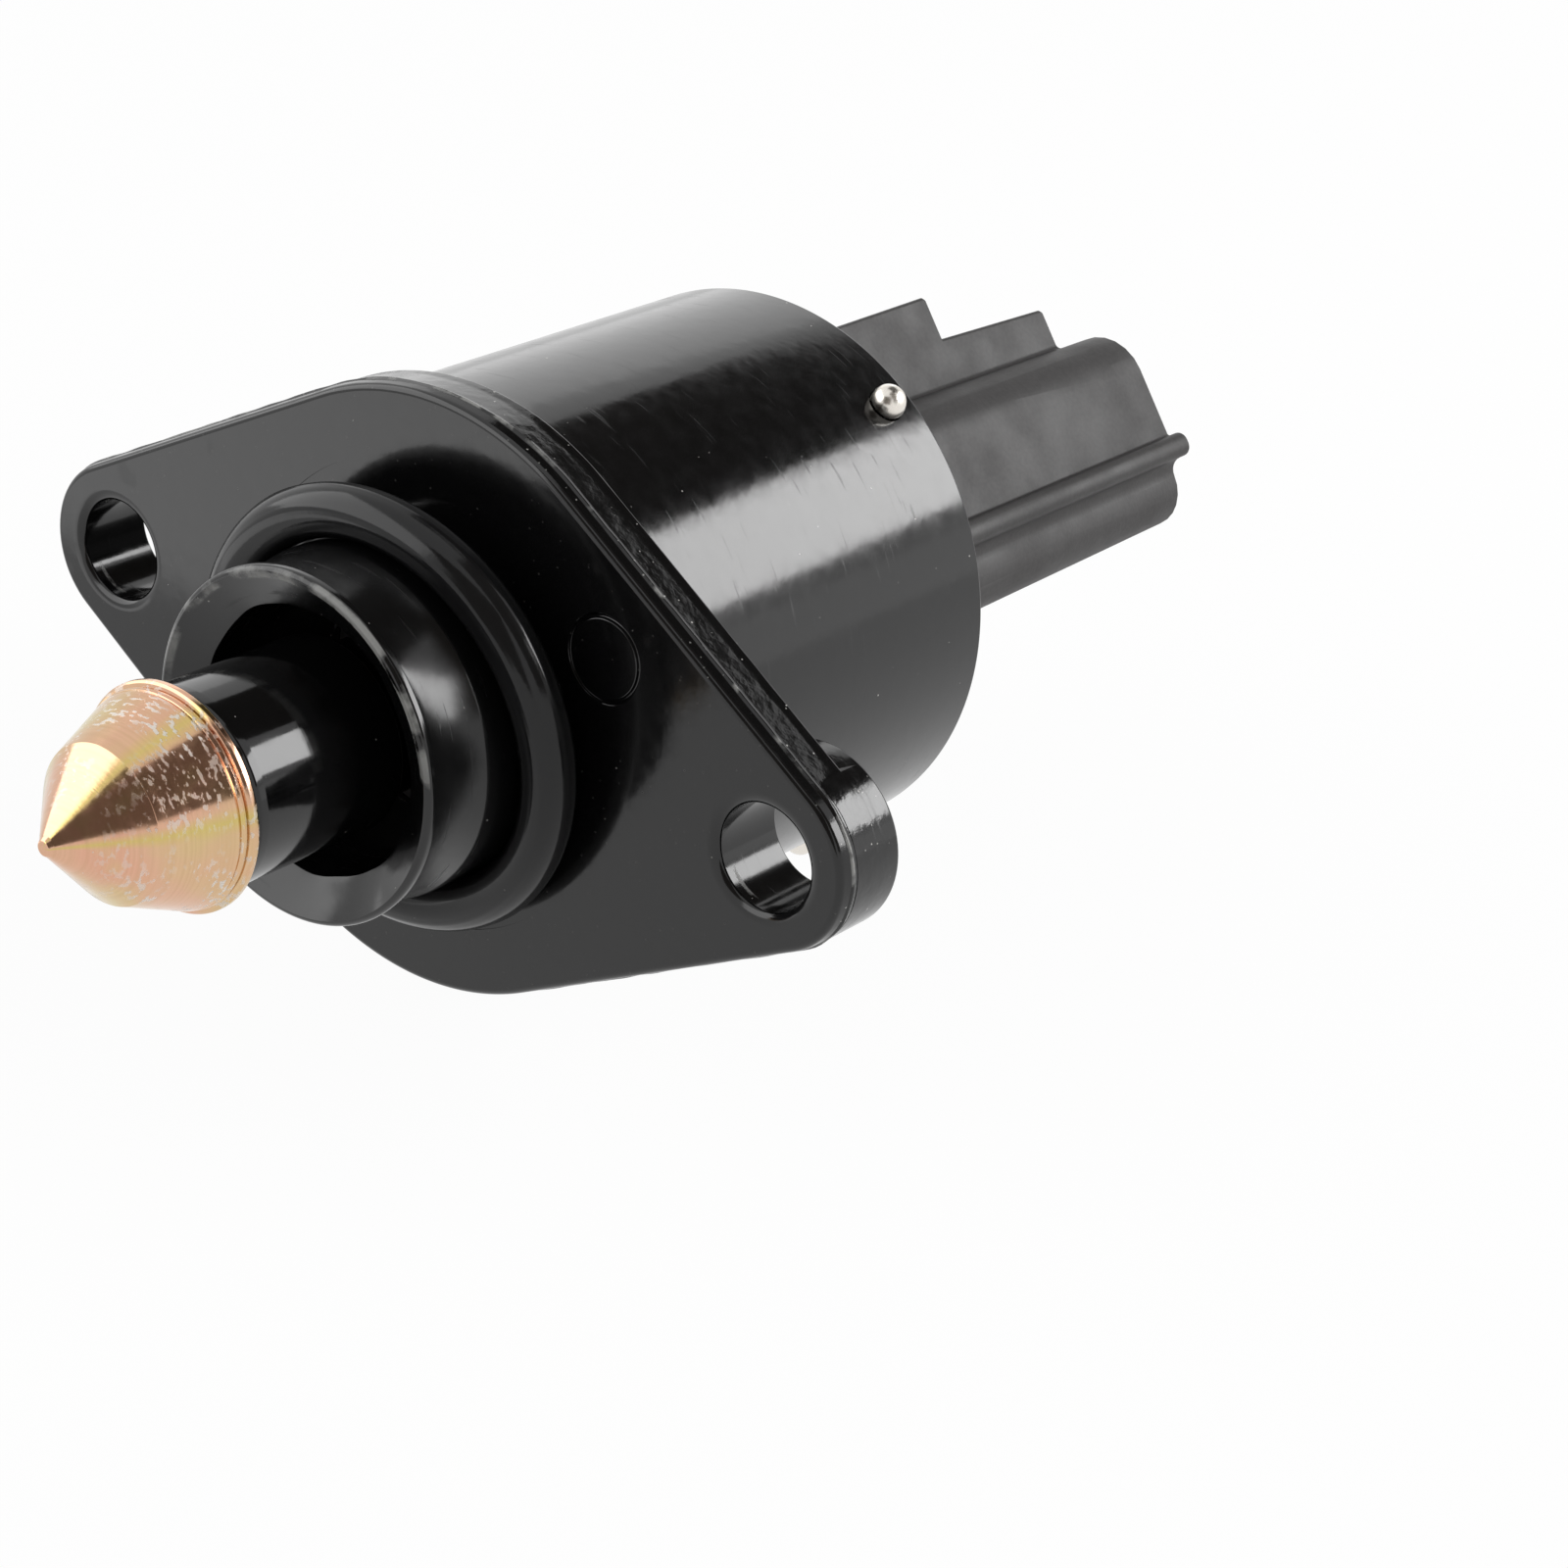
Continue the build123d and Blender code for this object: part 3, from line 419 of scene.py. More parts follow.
mark = moved(lathe("mark", [(2.0, -0.5, 0), (2.9, -0.5, 0), (2.68, -0.05, 0), (2.6, 0.03, 0.1),
                            (2.52, mark_deep, 0.08), (2.38, mark_deep, 0.08), (2.3, 0.03, 0.1),
                            (2.22, -0.05, 0)], 96), x=mark_x, z=mark_z)
combine(housing_look, [cavity, land, mark, bolt_cutter(-1), bolt_cutter(1)]
        + [pin_cutter(angle) for angle in pin_angles], "DIFFERENCE")
crisp(housing_look)

# %% [markdown]
# ## Seal ring
# The rubber ring sits askew on its seat, as it does on the real valve. It is a torus turned on the
# lathe, with the two fine flash lines that its mould leaves, then leaned over.

# %% Seal ring
seal_wire = 1.55
seal_lean = math.radians(6.3)
seal_r = (seat_r + 0.05 + seal_wire) / math.cos(seal_lean)
section = []
for k in range(60):
    angle = 2 * math.pi * k / 60
    thick = seal_wire + (0.035 if k in (0, 49) else 0.0)
    section.append((seal_r + thick * math.cos(angle), thick * math.sin(angle), 0))
seal_look = lathe("seal_ring_look", section, 192)
seal_y = (seal_low.y + seal_high.y) / 2
seal_look.data.transform(Matrix.Translation((0, seal_y, 0)) @ Matrix.Rotation(math.radians(-18), 4, "Y")
                         @ Matrix.Rotation(seal_lean, 4, "X"))
crisp(seal_look, 60)

# %% [markdown]
# ## Pintle and stem
# The pintle is turned from steel bar: a point with its pip, a blunt cone, a slower taper, two fine
# grooves with a thin ring between them, and a thin rim. The stem is a plain shaft with two flats
# behind, where the guide bush keeps it from turning.

# %% Pintle
pintle_low, pintle_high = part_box("pintle")
tip = pintle_low.y / MM
back = pintle_high.y / MM
pintle_r = pintle_high.x / MM
nest_r, nest_deep = 3.45, 3.0
pintle_look = lathe("pintle_look", [
    (0, tip, 0), (0.42, tip, 0.12), (0.62, tip + 0.28, 0.15), (4.5, tip + 4.0, 0.12),
    (6.1, back - 1.12, 0.02), (6.0, back - 1.06, 0.02), (6.0, back - 1.0, 0.02), (6.13, back - 0.95, 0.02),
    (6.2, back - 0.74, 0.03), (6.06, back - 0.66, 0.03), (6.1, back - 0.58, 0.03),
    (6.36, back - 0.52, 0.05), (pintle_r, back - 0.4, 0.08), (pintle_r, back, 0.14),
    (nest_r, back, 0.1), (nest_r, back - nest_deep, 0), (0, back - nest_deep, 0)], 240)
crisp(pintle_look, 25)

# %% Stem
stem_low, stem_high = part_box("stem")
stem_r = stem_high.x / MM
stem_front = stem_low.y / MM
stem_rear = stem_high.y / MM
shoulder, nose_r, guide_r = -7.2, 3.4, 4.6
stem_look = lathe("stem_look", [
    (0, stem_front, 0), (nose_r, stem_front, 0.1), (nose_r, back + 0.05, 0), (stem_r - 0.5, back + 0.05, 0.1),
    (stem_r - 0.02, back + 0.8, 0.3), (stem_r, back + 1.3, 0.5), (stem_r, shoulder, 0.5),
    (guide_r, shoulder, 0.2), (guide_r, stem_rear, 0.2), (0, stem_rear, 0)], 192)


def slab(name, low, high):
    corners = [(x, y, z) for x in (low[0], high[0]) for y in (low[1], high[1]) for z in (low[2], high[2])]
    sides = [(0, 1, 3, 2), (4, 5, 7, 6), (0, 1, 5, 4), (2, 3, 7, 6), (0, 2, 6, 4), (1, 3, 7, 5)]
    return solid_from(name, corners, sides)


flat_half, screw_r, screw_front = 3.8, 2.55, -12.05
flats = [slab(f"flat_{side}", (min(side * flat_half, side * 6), shoulder + 0.01, -6),
              (max(side * flat_half, side * 6), 7, 6)) for side in (-1, 1)]
screw_bore = lathe("screw_bore", [(0, screw_front, 0), (screw_r, screw_front, 0), (screw_r, 7, 0),
                                  (0, 7, 0)], 72)
combine(stem_look, flats + [screw_bore], "DIFFERENCE")
crisp(stem_look)

# %% [markdown]
# ## Connector
# The moulded connector is rolled 38 degrees about the valve axis. Its section is drawn once, with
# a radius at every corner: narrower below the key rails, two guide ribs on top. Rings of that
# section, a little larger towards the root for the mould's draft, make its three runs.

# %% Section of the connector
roll = math.radians(38)
cap_low, cap_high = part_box("connector_cap")
plug_end = cap_high.y / MM
cap_front = cap_low.y / MM
cap_rear = can_rear - 0.4
half_w, top, bottom = 10.6, 5.2, -8.05
rail_top, rail_bottom = -2.9, -4.5
rib_in, rib_out = 5.2, 7.0


def on_roll(side, up, y):
    return (side * math.cos(roll) - up * math.sin(roll), y, side * math.sin(roll) + up * math.cos(roll))


def plug_section(y, rib_top=None, shrink=0.0):
    grown = 0.35 * (plug_end - y) / (plug_end - cap_rear) - shrink
    wide = half_w + grown
    low = wide - 0.8
    rail = half_w + 1.3 - shrink
    right = [(low, bottom - grown, 2.5), (low, rail_bottom, 1.0), (rail, rail_bottom, 0.7),
             (rail, rail_top, 0.7), (wide, rail_top, 0.2), (wide, top + grown, 3.2)]
    if rib_top is not None:
        right += [(rib_out, top + grown, 0.4), (rib_out, rib_top, 0.25), (rib_in, rib_top, 0.25),
                  (rib_in, top + grown, 0.4)]
    left = [(-side, up, radius) for side, up, radius in reversed(right)]
    return [on_roll(side, up, y) for side, up in rounded(right + left, 15)]


# %% Shroud in three runs
tall_end, low_end = 47.2, plug_end - 2.9
tall = stacked("connector_look", [plug_section(cap_rear - 1.2, 11.45),
                                  plug_section(tall_end - 0.12, 11.45), plug_section(tall_end, 11.35)])
low = stacked("low_ribs", [plug_section(tall_end - 0.5, 8.55), plug_section(low_end - 0.12, 8.15),
                           plug_section(low_end, 8.05)])
plain = stacked("mouth", [plug_section(low_end - 0.5), plug_section(plug_end - 0.3),
                          plug_section(plug_end - 0.09, shrink=0.09), plug_section(plug_end, shrink=0.3)])
disc_r, groove_r = can_bore_r - 0.06, can_bore_r - 1.5
disc = lathe("cap_disc", [
    (0, cap_front, 0), (disc_r, cap_front, 0.1), (disc_r, cap_rear - 5.7, 0), (groove_r, cap_rear - 5.7, 0),
    (groove_r, cap_rear - 3.9, 0), (disc_r, cap_rear - 3.9, 0), (disc_r, cap_rear, 0.25),
    (0, cap_rear, 0)], 192)
connector_look = combine(tall, [low, plain, disc], "UNION")

# %% [markdown]
# ## Socket and pockets
# The socket is open at its mouth, with the latch wedge on top. The blades and the retaining pins
# already stand in the CAD model, so merged copies of them cut their own slots in the plastic, and
# nothing lies inside anything else.

# %% Socket, latch wedge and pockets
def socket_ring(y):
    right = [(8.1, -6.35, 0.8), (8.1, -2.8, 0.3), (8.9, -2.8, 0.3), (8.9, 3.5, 1.5)]
    left = [(-side, up, radius) for side, up, radius in reversed(right)]
    return [on_roll(side, up, y) for side, up in rounded(right + left, 15)]


wedge_side = [(50.5, top - 0.9), (50.5, top), (50.7, top + 1.7), (51.3, top + 1.7), (55.0, top),
              (55.0, top - 0.9)]
wedge = stacked("latch_wedge", [[on_roll(side, up, y) for y, up in wedge_side] for side in (-2.1, 2.1)])
combine(connector_look, [wedge], "UNION")
socket = stacked("socket", [socket_ring(plug_end - 19), socket_ring(plug_end + 1)])
seat_outer_r, seat_inner_r, seat_floor = 8.65, 3.4, 27.62
bearing_seat = lathe("bearing_seat", [
    (0, cap_front - 1, 0), (seat_outer_r, cap_front - 1, 0), (seat_outer_r, seat_floor, 0),
    (seat_inner_r, seat_floor, 0), (seat_inner_r, 28.1, 0), (0, 28.1, 0)], 96)


def merged_copy(node):
    twin = bpy.data.objects.new(node + "_cutter", nodes[node].data.copy())
    bpy.context.scene.collection.objects.link(twin)
    return merged(twin, 1e-6)


combine(connector_look, [socket, bearing_seat] + [merged_copy(f"terminal_{n}") for n in (1, 2, 3, 4)]
        + [merged_copy("retaining_pins")], "DIFFERENCE")
crisp(connector_look)

# %% [markdown]
# ## Retaining pins
# Three steel pins with ball heads, pressed through the can's rear edge, hold the cap. They repeat
# round the axis, so Geometry Nodes make them: one pin from the lathe, three places on a circle,
# and a plain mesh at the end.

# %% Pins by Geometry Nodes
def pin_tree():
    tree = bpy.data.node_groups.new("pins_round_the_can", "GeometryNodeTree")
    tree.interface.new_socket("Pin", in_out="INPUT", socket_type="NodeSocketObject")
    tree.interface.new_socket("Count", in_out="INPUT", socket_type="NodeSocketInt")
    tree.interface.new_socket("First angle", in_out="INPUT", socket_type="NodeSocketFloat")
    tree.interface.new_socket("Finish", in_out="INPUT", socket_type="NodeSocketMaterial")
    tree.interface.new_socket("Pins", in_out="OUTPUT", socket_type="NodeSocketGeometry")
    given = tree.nodes.new("NodeGroupInput")
    out = tree.nodes.new("NodeGroupOutput")
    line = tree.nodes.new("GeometryNodeMeshLine")
    line.inputs["Offset"].default_value = (0, 0, 0)
    source = tree.nodes.new("GeometryNodeObjectInfo")
    index = tree.nodes.new("GeometryNodeInputIndex")
    share = tree.nodes.new("ShaderNodeMath")
    share.operation = "DIVIDE"
    turn = tree.nodes.new("ShaderNodeMath")
    turn.operation = "MULTIPLY_ADD"
    turn.inputs[1].default_value = -2 * math.pi
    backwards = tree.nodes.new("ShaderNodeMath")
    backwards.operation = "MULTIPLY"
    backwards.inputs[1].default_value = -1
    spin = tree.nodes.new("ShaderNodeCombineXYZ")
    place = tree.nodes.new("GeometryNodeInstanceOnPoints")
    real = tree.nodes.new("GeometryNodeRealizeInstances")
    coat = tree.nodes.new("GeometryNodeSetMaterial")
    for start, end in ((given.outputs["Count"], line.inputs["Count"]),
                       (given.outputs["Pin"], source.inputs["Object"]),
                       (index.outputs[0], share.inputs[0]), (given.outputs["Count"], share.inputs[1]),
                       (share.outputs[0], turn.inputs[0]),
                       (given.outputs["First angle"], backwards.inputs[0]),
                       (backwards.outputs[0], turn.inputs[2]), (turn.outputs[0], spin.inputs["Y"]),
                       (line.outputs["Mesh"], place.inputs["Points"]),
                       (source.outputs["Geometry"], place.inputs["Instance"]),
                       (spin.outputs[0], place.inputs["Rotation"]), (place.outputs[0], real.inputs[0]),
                       (real.outputs[0], coat.inputs["Geometry"]),
                       (given.outputs["Finish"], coat.inputs["Material"]), (coat.outputs[0], out.inputs[0])):
        tree.links.new(start, end)
    return tree


def repeated(name, one, count, first_degrees, coat):
    host = bpy.data.objects.new(name, bpy.data.meshes.new(name))
    bpy.context.scene.collection.objects.link(host)
    step = host.modifiers.new("repeat", "NODES")
    step.node_group = pin_tree()
    values = {"Pin": one, "Count": count, "First angle": math.radians(first_degrees), "Finish": coat}
    for item in step.node_group.interface.items_tree:
        if item.item_type == "SOCKET" and item.in_out == "INPUT":
            step[item.identifier] = values[item.name]
    bpy.context.view_layer.update()
    baked(host)
    bpy.data.objects.remove(one)
    return host


# %% The three pins
shank_r, ball_r, ball_y = 0.8, 1.08, 0.35
pin = lathe("pin", [(0, -3.2, 0), (shank_r, -3.2, 0.1), (shank_r, -0.3, 0)] + [
    (ball_r * math.sin(math.radians(a)), ball_y - ball_r * math.cos(math.radians(a)), 0)
    for a in range(50, 180, 10)] + [(0, 1.43, 0)], 40)
pin.data.transform(Matrix.Translation((can_r * MM, pin_y * MM, 0))
                   @ Matrix.Rotation(math.radians(-90), 4, "Z"))
steel_bright = bpy.data.materials.new("bright steel")
pins_look = repeated("retaining_pins_look", pin, 3, pin_angles[0], steel_bright)
crisp(pins_look, 60)

# %% [markdown]
# ## Helpers for the finishes
# Every finish is a Principled shader with its colour, roughness and bump from nodes that read
# Object coordinates, in metres, so that a pattern stays on its piece in any pose.

# %% Start a finish, and read the place on the piece
def finish(name, colour, roughness, metallic=0.0, material=None):
    material = material or bpy.data.materials.new(name)
    material.use_nodes = True
    shader = material.node_tree.nodes["Principled BSDF"]
    shader.inputs["Base Color"].default_value = (*colour, 1)
    shader.inputs["Roughness"].default_value = roughness
    shader.inputs["Metallic"].default_value = metallic
    return material, material.node_tree, shader


def coordinates(tree, stretch=(1, 1, 1), turn=(0, 0, 0)):
    where = tree.nodes.new("ShaderNodeTexCoord")
    place = tree.nodes.new("ShaderNodeMapping")
    place.inputs["Scale"].default_value = stretch
    place.inputs["Rotation"].default_value = turn
    tree.links.new(where.outputs["Object"], place.inputs["Vector"])
    return place.outputs["Vector"]


def sums(tree, how, *values):
    node = tree.nodes.new("ShaderNodeMath")
    node.operation = how
    for socket, value in zip(node.inputs, values):
        if isinstance(value, (int, float)):
            socket.default_value = value
        else:
            tree.links.new(value, socket)
    return node.outputs[0]


def along(tree, axis):
    split = tree.nodes.new("ShaderNodeSeparateXYZ")
    tree.links.new(coordinates(tree), split.inputs[0])
    return split.outputs[axis]


def from_axis(tree):
    flat = sums(tree, "POWER", along(tree, "X"), 2)
    high = sums(tree, "POWER", along(tree, "Z"), 2)
    return sums(tree, "SQRT", sums(tree, "ADD", flat, high))


# %% Patterns: grain, turning marks, specks and bands
def grain(tree, per_metre, detail=2.0, stretch=(1, 1, 1), turn=(0, 0, 0)):
    clouds = tree.nodes.new("ShaderNodeTexNoise")
    clouds.inputs["Scale"].default_value = per_metre
    clouds.inputs["Detail"].default_value = detail
    tree.links.new(coordinates(tree, stretch, turn), clouds.inputs["Vector"])
    return clouds.outputs["Fac"]


def turning_marks(tree, per_metre, detail=3.0):
    place = tree.nodes.new("ShaderNodeCombineXYZ")
    tree.links.new(from_axis(tree), place.inputs["X"])
    tree.links.new(along(tree, "Y"), place.inputs["Y"])
    clouds = tree.nodes.new("ShaderNodeTexNoise")
    clouds.inputs["Scale"].default_value = per_metre
    clouds.inputs["Detail"].default_value = detail
    tree.links.new(place.outputs[0], clouds.inputs["Vector"])
    return clouds.outputs["Fac"]


def spread(tree, value, low, high, to_low, to_high):
    scale = tree.nodes.new("ShaderNodeMapRange")
    for name, number in (("From Min", low), ("From Max", high), ("To Min", to_low), ("To Max", to_high)):
        scale.inputs[name].default_value = number
    tree.links.new(value, scale.inputs["Value"])
    return scale.outputs["Result"]


def specks(tree, per_metre, size, share):
    cells = tree.nodes.new("ShaderNodeTexVoronoi")
    cells.inputs["Scale"].default_value = per_metre
    tree.links.new(coordinates(tree), cells.inputs["Vector"])
    chance = tree.nodes.new("ShaderNodeSeparateColor")
    tree.links.new(cells.outputs["Color"], chance.inputs[0])
    chosen = sums(tree, "LESS_THAN", chance.outputs[0], share)
    return sums(tree, "MULTIPLY", chosen, spread(tree, cells.outputs["Distance"], size * 0.6, size, 1, 0))


def away(tree, value, middle):
    return sums(tree, "ABSOLUTE", sums(tree, "SUBTRACT", value, middle))


def band(tree, value, middle, half):
    return spread(tree, away(tree, value, middle * MM), half * MM, half * 0.5 * MM, 0, 1)


def times(tree, one, other):
    return sums(tree, "MULTIPLY", one, other)


# %% Colour and bump
def tinted(tree, value, stops):
    ramp = tree.nodes.new("ShaderNodeValToRGB")
    ramp.color_ramp.elements.remove(ramp.color_ramp.elements[1])
    ramp.color_ramp.elements[0].position = stops[0][0]
    ramp.color_ramp.elements[0].color = (*stops[0][1], 1)
    for position, colour in stops[1:]:
        ramp.color_ramp.elements.new(position).color = (*colour, 1)
    tree.links.new(value, ramp.inputs["Fac"])
    return ramp.outputs["Color"]


def covered(tree, under, share, over):
    layer = tree.nodes.new("ShaderNodeMix")
    layer.data_type = "RGBA"
    sockets = {socket.identifier: socket for socket in layer.inputs}
    tree.links.new(share, sockets["Factor_Float"])
    for name, colour in (("A_Color", under), ("B_Color", over)):
        if isinstance(colour, tuple):
            sockets[name].default_value = (*colour, 1)
        else:
            tree.links.new(colour, sockets[name])
    return next(socket for socket in layer.outputs if socket.identifier == "Result_Color")


def bumped(tree, shader, height, millimetres):
    bump = tree.nodes.new("ShaderNodeBump")
    bump.inputs["Distance"].default_value = millimetres * MM
    bump.inputs["Strength"].default_value = 1.0
    tree.links.new(height, bump.inputs["Height"])
    if shader.inputs["Normal"].is_linked:
        tree.links.new(shader.inputs["Normal"].links[0].from_socket, bump.inputs["Normal"])
    tree.links.new(bump.outputs["Normal"], shader.inputs["Normal"])


def dress(piece, material):
    piece.data.materials.clear()
    piece.data.materials.append(material)


# %% [markdown]
# ## Black paint
# The casting is stoved gloss black. On the real one the paint has a faint orange peel and fine
# scratches, the unmachined sides of the flange are grainy, the paint is thin and grey along the
# spigot's lip and the parting bead, and a few specks of dust lie on it. Each is a layer of noise.
# On the lip the grey is kept to its upper side, where the light falls, so there it is partly wear
# and partly a painted highlight. Bands along the valve axis say where the grainy sides, the worn
# and highlit edges and the slightly duller neck are, and the grain stays out of the bolt holes.

# %% Black paint: where it is rough, worn, painted with a highlight or dusty
paint_black, dust_grey = (0.0035, 0.0035, 0.0037), (0.42, 0.41, 0.39)
paint, tree, shader = finish("black paint", paint_black, 0.2)
height = along(tree, "Y")
from_hole = away(tree, sums(tree, "ABSOLUTE", along(tree, "X")), spacing / 2 * MM)
from_hole = sums(tree, "MAXIMUM", from_hole, sums(tree, "ABSOLUTE", along(tree, "Z")))
sides = times(tree, band(tree, height, 2.5, 2.6), spread(tree, from_hole, 3.4 * MM, 3.9 * MM, 0, 1))
# Painted highlight: the lip's grey edge is kept to its upper side, where the light falls on it.
upper = spread(tree, along(tree, "Z"), -1 * MM, 4 * MM, 0, 1)
lip_wear_and_highlight = times(tree, band(tree, height, spigot_end + 0.1, 0.15),
                 times(tree, upper, spread(tree, grain(tree, 420, 5), 0.47, 0.6, 0, 1)))
bead_edge = times(tree, band(tree, height, parting, 0.16),
                  spread(tree, grain(tree, 600, 5), 0.5, 0.62, 0, 1))
worn_and_highlit = sums(tree, "MAXIMUM", lip_wear_and_highlight, bead_edge)
dust = sums(tree, "MAXIMUM", specks(tree, 700, 0.045, 0.22), specks(tree, 1700, 0.06, 0.08))
dust = sums(tree, "MAXIMUM", dust, times(tree, sides, specks(tree, 2300, 0.16, 0.22)))

# %% Black paint: colour, gloss and bump
# The grey on the edges is thin paint; on the lip's upper side it is also a painted highlight.
colour = covered(tree, covered(tree, paint_black, worn_and_highlit, (0.26, 0.26, 0.25)), dust, dust_grey)
tree.links.new(colour, shader.inputs["Base Color"])
scratches = spread(tree, grain(tree, 260, 2, (1, 14, 1), (0.5, 0.2, 0.9)), 0.66, 0.7, 0, 1)
soft = spread(tree, grain(tree, 900, 3), 0.3, 0.7, 0.1, 0.16)
for zone, rougher in ((worn_and_highlit, 0.35), (band(tree, height, -6.8, 3.0), 0.08), (scratches, 0.12)):
    soft = sums(tree, "ADD", soft, times(tree, zone, rougher))
tree.links.new(soft, shader.inputs["Roughness"])
bumped(tree, shader, grain(tree, 700, 2), 0.008)
bumped(tree, shader, times(tree, grain(tree, 1500, 3), sides), 0.022)
print("nodes in the paint:", len(tree.nodes))

# %% [markdown]
# ## Rubber and the glossy stem
# The rubber ring is smooth and slightly shiny, with a little mould grain. It mirrors less than the
# paint does, so its specular level is lowered. The stem is smoother than the casting and mirrors
# its surroundings almost sharply, with faint turning marks. Dust lies on both.

# %% Rubber and stem
rubber_black, stem_black = (0.008, 0.008, 0.0085), (0.003, 0.003, 0.0032)
rubber, tree, shader = finish("black rubber", rubber_black, 0.3)
tree.links.new(covered(tree, rubber_black, specks(tree, 900, 0.05, 0.2), (0.4, 0.39, 0.37)),
               shader.inputs["Base Color"])
shader.inputs["Specular IOR Level"].default_value = 0.32
tree.links.new(spread(tree, grain(tree, 1100, 3), 0.3, 0.7, 0.11, 0.18), shader.inputs["Roughness"])
bumped(tree, shader, grain(tree, 2500, 3), 0.004)

gloss, tree, shader = finish("gloss black stem", stem_black, 0.12)
tree.links.new(covered(tree, stem_black, specks(tree, 800, 0.045, 0.3), dust_grey),
               shader.inputs["Base Color"])
tree.links.new(spread(tree, grain(tree, 800, 4), 0.3, 0.7, 0.06, 0.12), shader.inputs["Roughness"])
bumped(tree, shader, grain(tree, 700, 2), 0.004)
bumped(tree, shader, turning_marks(tree, 3000), 0.002)
print("nodes in the stem's finish:", len(tree.nodes))

# %% [markdown]
# ## Yellow zinc
# The pintle is plated in yellow zinc. Its thin passivate film shifts between gold and pink in soft
# clouds, and the lathe's marks run round it. Two greenish yellow bands along it are a painted
# sheen: the colour that the film shows at those angles to the light and the camera. Whitish
# deposits and scratches lie on top, most on the land behind the cone, and they are rougher and less
# metallic than the plating. The clouds tint the metal, the painted sheen is two bands of the angle
# round the axis, and the lathe's marks are noise that varies only with radius and length.

# %% Yellow zinc: the film, its painted sheen and its marks
zinc, tree, shader = finish("yellow zinc", (0.72, 0.55, 0.28), 0.16, 1.0)
film = tinted(tree, grain(tree, 150, 3, (1, 0.55, 1)), [
    (0.30, (0.62, 0.50, 0.21)), (0.38, (0.66, 0.46, 0.26)), (0.47, (0.69, 0.42, 0.28)),
    (0.57, (0.70, 0.39, 0.27)), (0.68, (0.64, 0.50, 0.24))])
around = sums(tree, "ARCTAN2", along(tree, "X"), along(tree, "Z"))
# Painted sheen: greenish yellow bands at two fixed angles round the axis, where the film's colour shifts with
# the angle to the light and the camera.
for degrees, wide in ((20, 10), (77, 7)):
    painted_sheen = spread(tree, away(tree, around, math.radians(degrees)), math.radians(wide), 0, 0, 0.75)
    film = covered(tree, film, painted_sheen, (0.60, 0.50, 0.14))
lines = spread(tree, turning_marks(tree, 5200, 4), 0.35, 0.65, 0, 1)
film = covered(tree, film, times(tree, lines, 0.15), (0.36, 0.24, 0.10))

# %% Yellow zinc: deposits, gloss and bump
marks = spread(tree, grain(tree, 1800, 6, (1, 2.2, 1), (0.3, 0.9, 0.2)), 0.545, 0.60, 0, 1)
land_zone = band(tree, along(tree, "Y"), back - 3.0, 3.4)
patches = spread(tree, grain(tree, 240, 2, turn=(1, 2, 0)), 0.47, 0.58, 0, 1)
patches = times(tree, patches, spread(tree, land_zone, 0, 1, 0.3, 1))
facet = spread(tree, away(tree, around, math.radians(50)), math.radians(34), math.radians(20), 0, 0.6)
patches = sums(tree, "MAXIMUM", patches, times(tree, facet, land_zone))
deposit = sums(tree, "MAXIMUM", times(tree, marks, patches), specks(tree, 1500, 0.08, 0.1))
tree.links.new(covered(tree, film, times(tree, deposit, 0.75), (0.82, 0.80, 0.76)),
               shader.inputs["Base Color"])
tree.links.new(spread(tree, deposit, 0, 1, 1, 0.45), shader.inputs["Metallic"])
clean = spread(tree, grain(tree, 1500, 3), 0.3, 0.7, 0.1, 0.2)
tree.links.new(sums(tree, "ADD", clean, times(tree, deposit, 0.35)), shader.inputs["Roughness"])
bumped(tree, shader, turning_marks(tree, 4200, 4), 0.0035)
bumped(tree, shader, deposit, 0.004)
print("nodes in the zinc:", len(tree.nodes))

# %% [markdown]
# ## Plastics and metals
# The connector is a matt, glass-filled plastic with a fine grain. The inner parts, which show
# through the openings, get their own plain finishes. Metals of one kind differ only in colour, in
# the pattern of their roughness and in its range, so one helper makes them.

# %% Plastics
plastic, tree, shader = finish("dark grey plastic", (0.032, 0.031, 0.032), 0.5)
tree.links.new(tinted(tree, grain(tree, 3500, 4), [
    (0.3, (0.020, 0.0185, 0.0185)), (0.7, (0.032, 0.0297, 0.0295))]), shader.inputs["Base Color"])
tree.links.new(spread(tree, grain(tree, 300, 3), 0.3, 0.7, 0.5, 0.62), shader.inputs["Roughness"])
shader.inputs["Specular IOR Level"].default_value = 0.45
bumped(tree, shader, grain(tree, 5000, 3), 0.009)
natural, tree, shader = finish("natural plastic", (0.72, 0.70, 0.62), 0.45)
tree.links.new(tinted(tree, grain(tree, 200, 3), [(0.3, (0.68, 0.65, 0.56)), (0.7, (0.75, 0.73, 0.66))]),
               shader.inputs["Base Color"])
bumped(tree, shader, grain(tree, 3000, 2), 0.004)

# %% Metals
def metal(name, colour, pattern, per_metre, smooth, rough, material=None):
    coat, tree, shader = finish(name, colour, smooth, 1.0, material)
    tree.links.new(spread(tree, pattern(tree, per_metre), 0.3, 0.7, smooth, rough),
                   shader.inputs["Roughness"])
    return coat, tree, shader


def fine_grain(tree, per_metre):
    return grain(tree, per_metre, 3)


bright, tree, shader = metal("bright steel", (0.78, 0.74, 0.68), fine_grain, 1500, 0.2, 0.32, steel_bright)
bumped(tree, shader, grain(tree, 900, 3), 0.01)
steel = metal("machined steel", (0.55, 0.55, 0.56), turning_marks, 4000, 0.22, 0.4)[0]
pressed = metal("pressed steel", (0.50, 0.51, 0.52), fine_grain, 900, 0.28, 0.45)[0]
brass = metal("brass", (0.70, 0.52, 0.22), turning_marks, 4000, 0.2, 0.34)[0]
tin = metal("tinned brass", (0.70, 0.69, 0.66), fine_grain, 1200, 0.22, 0.36)[0]

